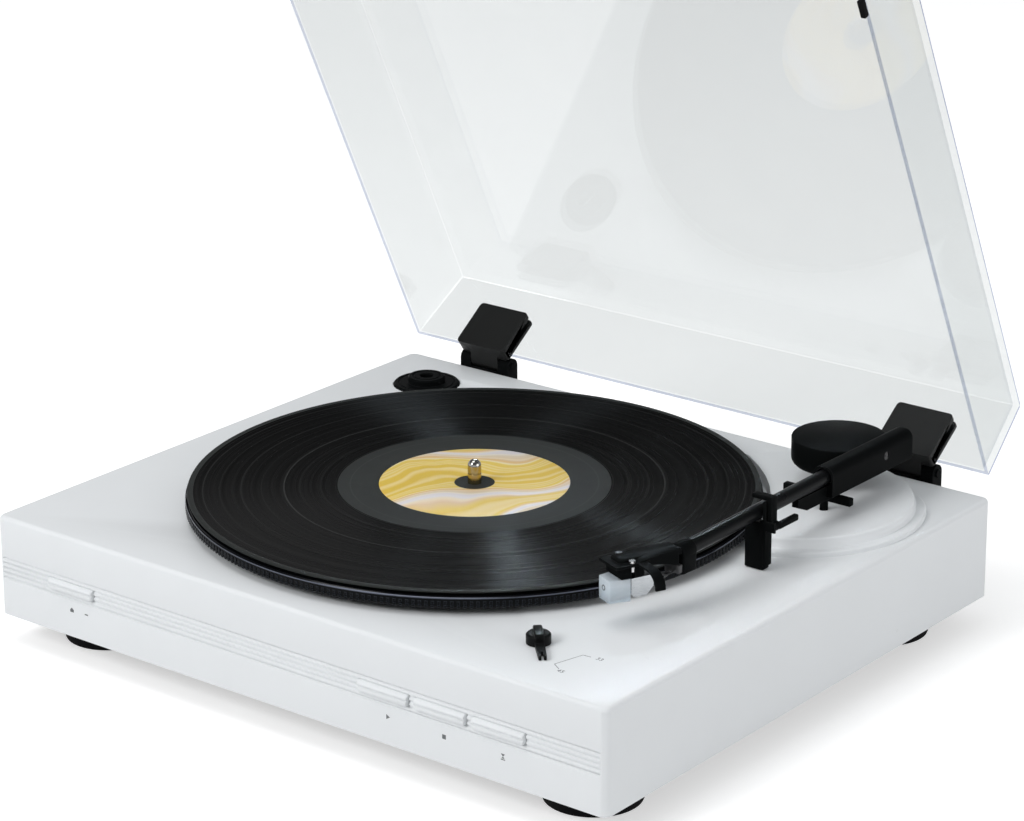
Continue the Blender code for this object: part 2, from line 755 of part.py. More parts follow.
def make_plinth():
    place = ORIGIN_PLACE
    shape = bmesh.new()
    size = Vector((PLINTH_WIDTH, PLINTH_DEPTH, PLINTH_HEIGHT))
    middle = Vector((0, PLINTH_DEPTH / 2, FOOT_HEIGHT + PLINTH_HEIGHT / 2))
    bmesh.ops.create_cube(shape, size=1.0, matrix=Matrix.LocRotScale(middle, None, size))
    bevel_edges(shape, [e for e in shape.edges if along(e, 2)], PLINTH_CORNER_RADIUS, 5)
    top = [e for e in shape.edges if all(abs(v.co.z - TOP) < GAP for v in e.verts)]
    bevel_edges(shape, top, PLINTH_TOP_RADIUS, 3)
    shell = from_bmesh("plinth", shape, place)

    turret, turret_hollow = make_turret(place)
    unite(shell, turret)

    cavity = box(
        "cavity",
        (LEFT + PLINTH_WALL, PLINTH_WALL, FOOT_HEIGHT - OVERRUN),
        (-LEFT - PLINTH_WALL, PLINTH_DEPTH - PLINTH_WALL, CEILING),
        place,
        edge=PLINTH_CORNER_RADIUS - PLINTH_WALL,
        only_axis=2,
    )
    dish = cylinder(
        "dish_cup",
        DISH_RADIUS + PLINTH_WALL,
        lifted(SPINDLE, DISH_FLOOR - PLINTH_WALL),
        lifted(SPINDLE, TOP + OVERRUN),
        place,
        segments=FINE,
    )
    adapter = plinth_at(ADAPTER_X, ADAPTER_Y)
    recess_radius = ADAPTER_RADIUS + 2 * GAP
    adapter_cup = cylinder(
        "adapter_cup",
        recess_radius + PLINTH_WALL,
        lifted(adapter, TOP - ADAPTER_RECESS_DEPTH - PLINTH_WALL),
        lifted(adapter, TOP + OVERRUN),
        place,
    )
    posts = [
        cylinder(
            "screw_post",
            SCREW_POST_RADIUS,
            lifted(spot, BASE_TOP + GAP),
            lifted(spot, TOP + OVERRUN),
            place,
            segments=TINY,
        )
        for spot in cover_screw_places()
    ]
    cut(cavity, dish, adapter_cup, *posts)
    cut(shell, cavity, turret_hollow)

    cut(
        shell,
        cylinder(
            "dish",
            DISH_RADIUS,
            lifted(SPINDLE, DISH_FLOOR),
            lifted(SPINDLE, TOP + OVERRUN),
            place,
            segments=FINE,
        ),
        cylinder(
            "adapter_recess",
            recess_radius,
            lifted(adapter, TOP - ADAPTER_RECESS_DEPTH),
            lifted(adapter, TOP + OVERRUN),
            place,
            segments=ROUND,
        ),
    )
    cut(shell, *plinth_holes(place))
    cut(shell, *front_cutters(place))
    part(shell, "plinth_shell", finish("plinth_shell", WHITE, 0.45))


def make_turret(place):
    """The raised disc under the arm, cut back where the platter turns, and the hollow in it."""
    centre = plinth_at(TURRET_X, TURRET_Y)
    fillet_centre = (TURRET_RADIUS + TURRET_FILLET, TURRET_FILLET)
    edge = TURRET_EDGE
    depth = PLINTH_WALL + OVERRUN
    profile = [(0, TURRET_HEIGHT)]
    profile += arc((TURRET_RADIUS - edge, TURRET_HEIGHT - edge), edge, 90, 0, 3)
    profile += arc(fillet_centre, TURRET_FILLET, 180, 270, 5)
    profile += [(TURRET_RADIUS + TURRET_FILLET, -depth), (0, -depth)]
    turret = turned("turret", profile, centre, place, segments=FINE)
    inside = TURRET_RADIUS - PLINTH_WALL
    roof = TURRET_HEIGHT - PLINTH_WALL
    profile = [(0, roof), (inside, roof), (inside, -depth), (0, -depth)]
    hollow = turned("turret_hollow", profile, centre, place)
    for solid, wall in ((turret, 0), (hollow, PLINTH_WALL)):
        sweep = cylinder(
            "turret_clearance",
            PLATTER_RADIUS + TURRET_CLEARANCE + wall,
            lifted(SPINDLE, TOP - depth - OVERRUN),
            lifted(SPINDLE, TOP + TURRET_HEIGHT + OVERRUN),
            place,
            segments=FINE,
        )
        cut(solid, sweep)
    return turret, hollow


def plinth_holes(place):
    """Round holes for the bearing, pulley, gear post, arm shaft, cue rod, selector and jacks."""
    low = DISH_FLOOR - PLINTH_WALL - OVERRUN
    high = DISH_FLOOR + OVERRUN
    holes = [
        cylinder("bearing_hole", BEARING_RADIUS + GAP, lifted(SPINDLE, low), lifted(SPINDLE, high), place),
        cylinder(
            "pulley_hole",
            PULLEY_RADIUS + PULLEY_FLANGE,
            lifted(pulley_centre(), low),
            lifted(pulley_centre(), high),
            place,
        ),
        cylinder(
            "cam_post_hole",
            CAM_POST_RADIUS + GAP,
            lifted(cam_centre(), low),
            lifted(cam_centre(), high),
            place,
            segments=TINY,
        ),
    ]
    for name, spot, radius in (
        ("arm_hole", PIVOT, SHAFT_RADIUS),
        ("cue_hole", (LEFT + CUE_ROD_X, CUE_BAR_Y), CUE_ROD_RADIUS),
        ("selector_hole", (LEFT + SELECTOR_X, SELECTOR_Y), SELECTOR_SHAFT_RADIUS),
    ):
        holes.append(
            cylinder(
                name,
                radius + GAP,
                lifted(spot, CEILING - OVERRUN),
                lifted(spot, TOP + TURRET_HEIGHT + OVERRUN),
                place,
            )
        )
    for spot in cover_screw_places():
        holes.append(
            cylinder(
                "pilot_hole",
                SCREW_RADIUS + GAP,
                lifted(spot, BASE_TOP - OVERRUN),
                lifted(spot, FOOT_HEIGHT + SCREW_LENGTH + GAP),
                place,
                segments=TINY,
            )
        )
    back = PLINTH_DEPTH
    spots = [(LEFT + JACK_X + side * JACK_PITCH / 2, JACK_RADIUS) for side in (-1, 1)]
    spots.append((LEFT + POWER_JACK_X, POWER_JACK_RADIUS))
    for x, radius in spots:
        z = FOOT_HEIGHT + JACK_HEIGHT
        holes.append(
            cylinder(
                "jack_hole",
                radius + GAP,
                (x, back - PLINTH_WALL - OVERRUN, z),
                (x, back + OVERRUN, z),
                place,
                segments=TINY,
            )
        )
    return holes


def front_cutters(place):
    """The five grooves of the front face and the openings of the four keys."""
    grooves = []
    for index in range(GROOVE_COUNT):
        z = FOOT_HEIGHT + GROOVE_TOP - GROOVE_PITCH * index
        grooves.append(
            box(
                "groove",
                (LEFT + GROOVE_FROM_END, -OVERRUN, z - GROOVE_WIDTH / 2),
                (-LEFT - GROOVE_FROM_END, GROOVE_DEPTH, z + GROOVE_WIDTH / 2),
                place,
            )
        )
    z = FOOT_HEIGHT + KEY_CENTRE_HEIGHT
    openings = [
        box(
            "key_opening",
            (x - KEY_WIDTH / 2 - GAP, -OVERRUN, z - KEY_HEIGHT / 2 - GAP),
            (x + KEY_WIDTH / 2 + GAP, PLINTH_WALL + OVERRUN, z + KEY_HEIGHT / 2 + GAP),
            place,
        )
        for x in key_centres()
    ]
    return [gather("grooves", grooves, place), gather("key_openings", openings, place)]


def make_base():
    place = ORIGIN_PLACE
    inset = PLINTH_WALL + GAP
    base = box(
        "base",
        (LEFT + inset, inset, FOOT_HEIGHT),
        (-LEFT - inset, PLINTH_DEPTH - inset, BASE_TOP),
        place,
        edge=PLINTH_CORNER_RADIUS - PLINTH_WALL,
        only_axis=2,
    )
    spots = [(spot, SCREW_RADIUS) for spot in cover_screw_places()]
    spots += [(spot, FOOT_PEG_RADIUS) for spot in foot_centres()]
    holes = [
        cylinder(
            "base_hole",
            radius + GAP,
            lifted(spot, FOOT_HEIGHT - OVERRUN),
            lifted(spot, BASE_TOP + OVERRUN),
            place,
            segments=TINY,
        )
        for spot, radius in spots
    ]
    corner = board_corner()
    inset = BOARD_POST_RADIUS * 2
    legs = [
        cylinder(
            "board_leg",
            BOARD_POST_RADIUS,
            (corner.x + x, corner.y + y, BASE_TOP - BASE_THICKNESS / 2),
            (corner.x + x, corner.y + y, BASE_TOP + BOARD_HEIGHT - GAP),
            place,
            segments=TINY,
        )
        for x in (inset, BOARD_WIDTH - inset)
        for y in (inset, BOARD_DEPTH - inset)
    ]
    cut(base, gather("base_holes", holes, place))
    unite(base, *legs)
    part(base, "base_plate", finish("base_plate", DARK, 0.7))
    make_base_screws(place)


def make_base_screws(place):
    """Four screws through the base into the posts under the plinth's top."""
    under = FOOT_HEIGHT - GAP - SCREW_HEAD_HEIGHT
    for corner, spot in zip(CORNER_NAMES, cover_screw_places()):
        head = cylinder(
            "screw_head",
            SCREW_HEAD_RADIUS,
            lifted(spot, under),
            lifted(spot, under + SCREW_HEAD_HEIGHT),
            place,
            segments=TINY,
        )
        thread = cylinder(
            "screw_thread",
            SCREW_RADIUS,
            lifted(spot, under + SCREW_HEAD_HEIGHT / 2),
            lifted(spot, under + SCREW_HEAD_HEIGHT + SCREW_LENGTH),
            place,
            segments=TINY,
        )
        unite(head, thread)
        name = "base_screw_" + corner
        part(head, name, finish(name, STEEL, 0.35, 0.9))


def make_feet():
    """Round feet, hollow in the middle, each with a peg in a hole of the base."""
    place = ORIGIN_PLACE
    top = FOOT_HEIGHT - GAP
    for corner, spot in zip(CORNER_NAMES, foot_centres()):
        name = "foot_" + corner
        profile = [
            (0, BASE_TOP),
            (FOOT_PEG_RADIUS, BASE_TOP),
            (FOOT_PEG_RADIUS, top),
            (FOOT_RADIUS - FOOT_EDGE, top),
            (FOOT_RADIUS, top - FOOT_EDGE),
            (FOOT_RADIUS, 0),
            (FOOT_RECESS_RADIUS, 0),
            (FOOT_RECESS_RADIUS, FOOT_RECESS_DEPTH),
            (0, FOOT_RECESS_DEPTH),
        ]
        foot = turned(name, profile, lifted(spot, 0), place, segments=SMALL)
        part(foot, name, finish(name, DARK, 0.75))


def make_platter():
    spin = empty("platter_spin", lifted(SPINDLE, PLATTER_UNDER), ORIGIN)
    place = Place(spin)
    inner = PLATTER_RADIUS - PLATTER_RIM_WIDTH
    rim_bottom = PLATTER_TOP - PLATTER_RIM_HEIGHT
    drive_inner = DRIVE_RIM_RADIUS - DRIVE_RIM_WIDTH
    profile = [
        (PLATTER_RADIUS - PLATTER_EDGE, PLATTER_TOP),
        (PLATTER_RADIUS, PLATTER_TOP - PLATTER_EDGE),
        (PLATTER_RADIUS, rim_bottom + PLATTER_EDGE),
        (PLATTER_RADIUS - PLATTER_EDGE, rim_bottom),
        (inner, rim_bottom),
        (inner, PLATTER_UNDER),
        (DRIVE_RIM_RADIUS, PLATTER_UNDER),
        (DRIVE_RIM_RADIUS, PLATTER_UNDER - DRIVE_RIM_DEPTH),
        (drive_inner, PLATTER_UNDER - DRIVE_RIM_DEPTH),
        (drive_inner, PLATTER_UNDER),
        (HUB_RADIUS, PLATTER_UNDER),
        (HUB_RADIUS, HUB_BOTTOM),
        (BORE, HUB_BOTTOM),
        (BORE, PLATTER_TOP),
    ]
    platter = turned("platter", profile, lifted(SPINDLE, 0), place, segments=FINE)
    part(platter, "platter", finish("platter", BLACK, 0.35, 0.2))

    top = MAT_BOTTOM + MAT_THICKNESS
    profile = [(MAT_RADIUS, top), (MAT_RADIUS, MAT_BOTTOM), (BORE, MAT_BOTTOM), (BORE, top)]
    mat = turned("slip_mat", profile, lifted(SPINDLE, 0), place, segments=FINE)
    part(mat, "slip_mat", finish("slip_mat", DARK, 0.9))

    dome = SPINDLE_RADIUS
    top = RECORD_Z + SPINDLE_ABOVE_RECORD
    profile = [(0, top)] + arc((0, top - dome), dome, 90, 0, 6)[1:]
    profile += [(SPINDLE_RADIUS, TOP - SPINDLE_BELOW_TOP), (0, TOP - SPINDLE_BELOW_TOP)]
    spindle = turned("spindle", profile, lifted(SPINDLE, 0), place, segments=SMALL)
    part(spindle, "spindle", finish("spindle", STEEL, 0.2, 1.0))

    bottom = DISH_FLOOR + GEAR_LIFT
    phase = CAM_ANGLE + math.pi
    pinion = gear("hub_pinion", PINION_TEETH, SPINDLE, bottom, bottom + GEAR_THICKNESS, BORE, phase, place)
    part(pinion, "hub_pinion", finish("hub_pinion", (0.75, 0.74, 0.70), 0.5), smooth=False)


def tooth_outline(teeth, centre, phase, missing=0):
    """A gear's outline: trapezoid teeth, with some left out around the phase direction."""
    pitch_radius = GEAR_MODULE * teeth / 2
    root = pitch_radius - GEAR_MODULE * GEAR_ROOT_SHARE
    tip = pitch_radius + GEAR_MODULE
    pitch = 2 * math.pi / teeth
    slack = GEAR_BACKLASH / pitch_radius / 2
    flank_shares = (
        (-TOOTH_FOOT_SHARE, root),
        (-TOOTH_TIP_SHARE, tip),
        (TOOTH_TIP_SHARE, tip),
        (TOOTH_FOOT_SHARE, root),
    )
    loop = []
    for index in range(teeth):
        middle = phase + pitch * (index + 0.5)
        gone = min(index, teeth - 1 - index) < missing / 2
        for share, radius in flank_shares:
            angle = middle + share * pitch - math.copysign(slack, share)
            reach = root if gone else radius
            loop.append((centre[0] + reach * math.cos(angle), centre[1] + reach * math.sin(angle)))
    return loop


def gear(name, teeth, centre, low, high, bore, phase, place, missing=0, hub=()):
    """A toothed disc with a hub on it, if one is given, and a bore through both."""
    loops = [tooth_outline(teeth, centre, phase, missing)]
    disc = outline_solid(name, loops, low, high, place)
    unite(disc, *hub)
    above = high + CAM_HUB_HEIGHT + OVERRUN
    rod = cylinder("gear_bore", bore, lifted(centre, low - OVERRUN), lifted(centre, above), place)
    cut(disc, rod)
    return disc


def make_record():
    lift = empty("record_lift", lifted(SPINDLE, RECORD_BOTTOM), ORIGIN)
    place = Place(lift)
    land = RECORD_Z - RECORD_BEAD_HEIGHT
    label_edge = LABEL_RADIUS + GAP
    label_floor = land - LABEL_THICKNESS - GAP
    eye = LABEL_EYE_RADIUS - GAP
    profile = [
        (RECORD_RADIUS - RECORD_BEAD_WIDTH, RECORD_Z),
        (RECORD_RADIUS - RECORD_THICKNESS / 2, RECORD_Z),
        (RECORD_RADIUS, RECORD_Z - RECORD_THICKNESS / 2),
        (RECORD_RADIUS - RECORD_THICKNESS / 2, RECORD_BOTTOM),
        (BORE, RECORD_BOTTOM),
        (BORE, land),
        (eye, land),
        (eye, label_floor),
        (label_edge, label_floor),
        (label_edge, land),
        (DEADWAX_RADIUS, land),
        (RECORD_RADIUS - 2 * RECORD_BEAD_WIDTH, land),
    ]
    disc = turned("record_disc", profile, lifted(SPINDLE, 0), place, segments=FINE)
    part(disc, "record_disc", finish("record_disc", BLACK, 0.25))
    low = label_floor + GAP
    profile = [(LABEL_RADIUS, land), (LABEL_RADIUS, low), (LABEL_EYE_RADIUS, low), (LABEL_EYE_RADIUS, land)]
    label = turned("record_label", profile, lifted(SPINDLE, 0), place)
    part(label, "record_label", finish("record_label", (0.75, 0.55, 0.15), 0.5))


def make_bearing():
    place = ORIGIN_PLACE
    top = DISH_FLOOR + GAP + BEARING_FLANGE_THICKNESS
    bottom = DISH_FLOOR - BEARING_WALL_BELOW
    pit = TOP - SPINDLE_BELOW_TOP - GAP
    profile = [
        (BEARING_FLANGE_RADIUS, top),
        (BEARING_FLANGE_RADIUS, DISH_FLOOR + GAP),
        (BEARING_RADIUS, DISH_FLOOR + GAP),
        (BEARING_RADIUS, bottom),
        (0, bottom),
        (0, pit),
        (BORE, pit),
        (BORE, top),
    ]
    bearing = turned("spindle_bearing", profile, lifted(SPINDLE, 0), place, segments=SMALL)
    part(bearing, "spindle_bearing", finish("spindle_bearing", BRASS, 0.3, 1.0))


def belt_heights():
    """The belt runs round the middle of the platter's drive rim."""
    middle = PLATTER_UNDER - DRIVE_RIM_DEPTH / 2
    return middle - BELT_WIDTH / 2, middle + BELT_WIDTH / 2


def belt_loop(offset):
    """The closed outline round the drive rim and the pulley, at an offset from both."""
    large = DRIVE_RIM_RADIUS + offset
    small = PULLEY_RADIUS + offset
    lean = math.degrees(math.acos((large - small) / PULLEY_DISTANCE))
    axis = math.degrees(PULLEY_ANGLE)
    around = arc(SPINDLE, large, axis + lean, axis + 360 - lean, ROUND)
    return around + arc(pulley_centre(), small, axis - lean, axis + lean, SMALL)


def make_drive():
    place = ORIGIN_PLACE
    low, high = belt_heights()
    loops = [belt_loop(GAP + BELT_THICKNESS), belt_loop(GAP)]
    belt = outline_solid("drive_belt", loops, low, high, place)
    part(belt, "drive_belt", finish("drive_belt", DARK, 0.8), smooth=False)

    spot = pulley_centre()
    spin = empty("pulley_spin", lifted(spot, low), ORIGIN)
    collar = PULLEY_RADIUS + PULLEY_FLANGE / 2
    motor_top = DISH_FLOOR - PLINTH_WALL - GAP
    profile = [
        (collar, high + GAP + PULLEY_FLANGE_THICKNESS),
        (collar, high + GAP),
        (PULLEY_RADIUS, high + GAP),
        (PULLEY_RADIUS, low - GAP),
        (collar, low - GAP),
        (collar, low - GAP - PULLEY_FLANGE_THICKNESS),
        (PULLEY_STEM_RADIUS, low - GAP - PULLEY_FLANGE_THICKNESS),
        (PULLEY_STEM_RADIUS, motor_top - MOTOR_SHAFT_DEPTH),
        (0, motor_top - MOTOR_SHAFT_DEPTH),
        (0, high + GAP + PULLEY_FLANGE_THICKNESS),
    ]
    pulley = turned("motor_pulley", profile, lifted(spot, 0), Place(spin), segments=SMALL)
    part(pulley, "motor_pulley", finish("motor_pulley", BRASS, 0.3, 1.0))

    socket = PULLEY_STEM_RADIUS + GAP
    profile = [
        (MOTOR_RADIUS, motor_top - MOTOR_EAR_THICKNESS - GAP),
        (MOTOR_RADIUS, motor_top - MOTOR_HEIGHT),
        (0, motor_top - MOTOR_HEIGHT),
        (0, motor_top - MOTOR_SHAFT_DEPTH - GAP),
        (socket, motor_top - MOTOR_SHAFT_DEPTH - GAP),
        (socket, motor_top - MOTOR_EAR_THICKNESS - GAP),
    ]
    motor = turned("motor", profile, lifted(spot, 0), place, segments=SMALL)
    part(motor, "motor", finish("motor", STEEL, 0.4, 0.9))

    reach = MOTOR_RADIUS + MOTOR_EAR
    outline = rounded_rectangle(
        (spot.x - reach, spot.y - MOTOR_EAR), (spot.x + reach, spot.y + MOTOR_EAR), MOTOR_EAR / 2
    )
    screw_spots = [(spot.x + side * (reach - MOTOR_EAR / 2), spot.y) for side in (-1, 1)]
    holes = [ring(spot, socket, SMALL)] + [ring(s, SCREW_RADIUS + GAP, TINY) for s in screw_spots]
    bracket = outline_solid(
        "motor_bracket", [outline, *holes], motor_top - MOTOR_EAR_THICKNESS, motor_top, place
    )
    part(bracket, "motor_bracket", finish("motor_bracket", STEEL, 0.4, 0.9), smooth=False)


def make_cam_gear():
    place = ORIGIN_PLACE
    spot = cam_centre()
    bottom = DISH_FLOOR + GEAR_LIFT
    top = bottom + GEAR_THICKNESS
    head = top + CAM_HUB_HEIGHT + GAP
    profile = [
        (0, head + CAM_POST_HEAD),
        (CAM_POST_HEAD_RADIUS, head + CAM_POST_HEAD),
        (CAM_POST_HEAD_RADIUS, head),
        (CAM_POST_RADIUS, head),
        (CAM_POST_RADIUS, DISH_FLOOR - PLINTH_WALL * 2),
        (0, DISH_FLOOR - PLINTH_WALL * 2),
    ]
    post = turned("cam_post", profile, lifted(spot, 0), place, segments=SMALL)
    part(post, "cam_post", finish("cam_post", STEEL, 0.3, 1.0))

    turn = empty("cycle_turn", lifted(spot, bottom), ORIGIN)
    place = Place(turn)
    bore = CAM_POST_RADIUS + GAP
    hub = cylinder(
        "cam_hub",
        CAM_HUB_RADIUS,
        lifted(spot, top - GEAR_THICKNESS / 2),
        lifted(spot, top + CAM_HUB_HEIGHT),
        place,
    )
    phase = CAM_ANGLE + math.pi
    cam = gear("cam", CAM_TEETH, spot, bottom, top, bore, phase, place, CAM_GAP_TEETH, [hub])
    track = [ring(spot, CAM_TRACK_RADIUS + side * CAM_TRACK_WIDTH / 2, SMALL) for side in (1, -1)]
    groove = outline_solid("cam_track", track, top - CAM_TRACK_DEPTH, top + OVERRUN, place)
    cut(cam, groove)
    part(cam, "cycle_cam_gear", finish("cycle_cam_gear", (0.75, 0.74, 0.70), 0.5), smooth=False)


def make_adapter():
    spot = plinth_at(ADAPTER_X, ADAPTER_Y)
    bottom = TOP - ADAPTER_RECESS_DEPTH + GAP
    lift = empty("adapter_lift", lifted(spot, bottom), ORIGIN)
    flange = bottom + ADAPTER_FLANGE_HEIGHT
    top = flange + ADAPTER_BOSS_HEIGHT
    edge = ADAPTER_EDGE
    profile = [
        (ADAPTER_BOSS_RADIUS - edge, top),
        (ADAPTER_BOSS_RADIUS, top - edge),
        (ADAPTER_BOSS_RADIUS, flange),
        (ADAPTER_RADIUS - edge, flange),
        (ADAPTER_RADIUS, flange - edge),
        (ADAPTER_RADIUS, bottom),
        (BORE, bottom),
        (BORE, top),
    ]
    adapter = turned("adapter_45", profile, lifted(spot, 0), Place(lift))
    part(adapter, "adapter_45", finish("adapter_45", BLACK, 0.4))


def make_selector():
    spot = Vector((LEFT + SELECTOR_X, SELECTOR_Y, TOP + GAP))
    turn = empty("selector_turn", spot, ORIGIN, (0, 0, SELECTOR_ANGLE))
    place = Place(turn)
    options = {"local": True}
    profile = [
        (0, SELECTOR_HEIGHT),
        (SELECTOR_RADIUS - KEY_EDGE, SELECTOR_HEIGHT),
        (SELECTOR_RADIUS, SELECTOR_HEIGHT - KEY_EDGE),
        (SELECTOR_RADIUS, 0),
        (SELECTOR_SHAFT_RADIUS, 0),
        (SELECTOR_SHAFT_RADIUS, -SELECTOR_SHAFT_LENGTH),
        (0, -SELECTOR_SHAFT_LENGTH),
    ]
    knob = turned("knob", profile, (0, 0, 0), place, segments=SMALL, **options)
    bar = box(
        "knob_bar",
        (-SELECTOR_RADIUS, -SELECTOR_BAR_WIDTH / 2, SELECTOR_HEIGHT - OVERRUN),
        (SELECTOR_RADIUS, SELECTOR_BAR_WIDTH / 2, SELECTOR_HEIGHT + SELECTOR_BAR_HEIGHT),
        place,
        edge=KEY_EDGE,
        **options,
    )
    half = SELECTOR_POINTER_WIDTH / 2
    tip_half = SELECTOR_POINTER_TIP_WIDTH / 2
    slot = SELECTOR_SLOT_WIDTH / 2
    prong = (tip_half - slot) / 2
    length = SELECTOR_POINTER_LENGTH
    outline = [(0, -half)]
    outline += arc((length - prong, -slot - prong), prong, -90, 90, 6)
    outline += arc((length - SELECTOR_SLOT_LENGTH, 0), slot, -90, -270, 4)
    outline += arc((length - prong, slot + prong), prong, -90, 90, 6)
    outline += [(0, half)]
    pointer = outline_solid("pointer", [outline], 0, SELECTOR_POINTER_HEIGHT, place, **options)
    unite(knob, bar, pointer)
    part(knob, "speed_selector", finish("speed_selector", BLACK, 0.4))


def make_keys():
    names = ("key_power", "key_start", "key_stop", "key_lift")
    z = FOOT_HEIGHT + KEY_CENTRE_HEIGHT
    back = PLINTH_WALL + GAP + KEY_FLANGE_THICKNESS
    for name, x in zip(names, key_centres()):
        press = empty(name + "_press", (x, 0, z), ORIGIN)
        place = Place(press)
        cap = box(
            name,
            (x - KEY_WIDTH / 2, -KEY_PROUD, z - KEY_HEIGHT / 2),
            (x + KEY_WIDTH / 2, PLINTH_WALL + KEY_LENGTH / 2, z + KEY_HEIGHT / 2),
            place,
            edge=KEY_EDGE,
        )
        flange = box(
            name + "_flange",
            (x - KEY_WIDTH / 2 - KEY_FLANGE, PLINTH_WALL + GAP, z - KEY_HEIGHT / 2 - KEY_FLANGE),
            (x + KEY_WIDTH / 2 + KEY_FLANGE, back, z + KEY_HEIGHT / 2 + KEY_FLANGE),
            place,
        )
        groove = box(
            name + "_groove",
            (x - KEY_WIDTH / 2 - OVERRUN, -KEY_PROUD - OVERRUN, z - GROOVE_WIDTH / 2),
            (x + KEY_WIDTH / 2 + OVERRUN, GROOVE_DEPTH - KEY_PROUD, z + GROOVE_WIDTH / 2),
            place,
        )
        unite(cap, flange)
        cut(cap, groove)
        part(cap, name, finish(name, WHITE, 0.4), smooth=False)
    make_switches(z)


def make_switches(z):
    """An upright board with a switch block behind each key, one press away from it."""
    place = ORIGIN_PLACE
    front = PLINTH_WALL + KEY_LENGTH / 2 + KEY_TRAVEL + 2 * GAP
    centres = key_centres()
    high = z + KEY_HEIGHT / 2
    board = box(
        "switch_board",
        (centres[0] - KEY_WIDTH / 2, front + SWITCH_DEPTH, BASE_TOP + GAP),
        (centres[-1] + KEY_WIDTH / 2, front + SWITCH_DEPTH + BOARD_THICKNESS, high + KEY_HEIGHT / 2),
        place,
    )
    blocks = [
        box(
            "switch",
            (x - SWITCH_WIDTH / 2, front, z - KEY_HEIGHT / 2),
            (x + SWITCH_WIDTH / 2, front + SWITCH_DEPTH + BOARD_THICKNESS / 2, high),
            place,
        )
        for x in centres
    ]
    unite(board, *blocks)
    part(board, "switch_board", finish("switch_board", DARK, 0.6), smooth=False)


def make_arm_base():
    swing = empty("arm_swing", lifted(PIVOT, TOP + DRUM_BOTTOM), ORIGIN)
    place = Place(swing)
    bottom = TOP + DRUM_BOTTOM
    top = bottom + DRUM_THICKNESS
    profile = [(0, top)]
    profile += arc((DRUM_RADIUS - DRUM_TOP_EDGE, top - DRUM_TOP_EDGE), DRUM_TOP_EDGE, 90, 0, 2)
    profile += arc((DRUM_RADIUS - DRUM_BOTTOM_EDGE, bottom + DRUM_BOTTOM_EDGE), DRUM_BOTTOM_EDGE, 0, -90, 5)
    profile += [(0, bottom)]
    drum = turned("drum", profile, lifted(PIVOT, 0), place)
    face = LEFT + BEAM_LEFT - GAP
    beside = box(
        "drum_flat",
        (face, PIVOT.y - DRUM_RADIUS - OVERRUN, bottom - OVERRUN),
        (PIVOT.x + DRUM_RADIUS + OVERRUN, PIVOT.y + DRUM_RADIUS + OVERRUN, top + OVERRUN),
        place,
    )
    neck = cylinder(
        "neck",
        SHAFT_RADIUS,
        lifted(PIVOT, TOP - SHAFT_BELOW_TOP),
        lifted(PIVOT, bottom + DRUM_THICKNESS / 2),
        place,
    )
    pin_hole = cylinder(
        "drum_pin_hole",
        LIFT_PIN_RADIUS + GAP,
        (face - LIFT_PIN_INSIDE - GAP, LIFT_AXIS_Y, LIFT_AXIS_Z),
        (face + OVERRUN, LIFT_AXIS_Y, LIFT_AXIS_Z),
        place,
        segments=TINY,
    )
    cut(drum, beside)
    unite(drum, neck)
    cut(drum, pin_hole)
    part(drum, "arm_pivot_drum", finish("arm_pivot_drum", BLACK, 0.45))

    pin = cylinder(
        "lift_pin",
        LIFT_PIN_RADIUS,
        (face - LIFT_PIN_INSIDE, LIFT_AXIS_Y, LIFT_AXIS_Z),
        (BEAM_CENTRE + BEAM_WIDTH / 2 - GAP, LIFT_AXIS_Y, LIFT_AXIS_Z),
        place,
        segments=TINY,
    )
    part(pin, "arm_lift_pin", finish("arm_lift_pin", STEEL, 0.3, 1.0))

    crank_low = TOP - CRANK_BELOW_TOP
    outline = crank_outline()
    crank = outline_solid(
        "crank",
        [outline, ring(PIVOT, SHAFT_RADIUS + GAP, SMALL)],
        crank_low,
        crank_low + CRANK_THICKNESS,
        place,
    )
    part(crank, "arm_crank", finish("arm_crank", STEEL, 0.45, 0.8), smooth=False)


def crank_outline():
    """A lever with a round end about the shaft and a smaller one at its far end."""
    near, far = CRANK_EYE_RADIUS, CRANK_TIP_RADIUS
    tip = PIVOT + CRANK_LENGTH * Vector((math.cos(CRANK_ANGLE), math.sin(CRANK_ANGLE)))
    lean = math.degrees(math.acos((near - far) / CRANK_LENGTH))
    axis = math.degrees(CRANK_ANGLE)
    around = arc(PIVOT, near, axis + lean, axis + 360 - lean, SMALL)
    return around + arc(tip, far, axis - lean, axis + lean, TINY)


def make_arm():
    lift = empty("arm_lift", (BEAM_CENTRE, LIFT_AXIS_Y, LIFT_AXIS_Z), ORIGIN)
    place = Place(lift)
    lift.rotation_euler.x = -REST_RAISE
    make_beam(place)
    make_tube(place)
    make_headshell(place)
    make_cartridge(place)


def beam_section():
    """The beam's outline across X and Z: square below, rounded above."""
    low, high = TOP + BEAM_BOTTOM, TOP + BEAM_BOTTOM + BEAM_HEIGHT
    left, right = BEAM_CENTRE - BEAM_WIDTH / 2, BEAM_CENTRE + BEAM_WIDTH / 2
    outline = arc((right - BEAM_EDGE, low + BEAM_EDGE), BEAM_EDGE, -90, 0, 2)
    outline += arc((right - BEAM_ROUNDING, high - BEAM_ROUNDING), BEAM_ROUNDING, 0, 90, 5)
    outline += arc((left + BEAM_ROUNDING, high - BEAM_ROUNDING), BEAM_ROUNDING, 90, 180, 5)
    outline += arc((left + BEAM_EDGE, low + BEAM_EDGE), BEAM_EDGE, 180, 270, 2)
    return outline


def tube_height(y):
    """The height of the tube's centre line at a distance from the front."""
    return TOP + TUBE_AT_COLLAR + TUBE_SLOPE * (y - COLLAR_FRONT)


def tube_point(y):
    return (LEFT + TUBE_X, y, tube_height(y))


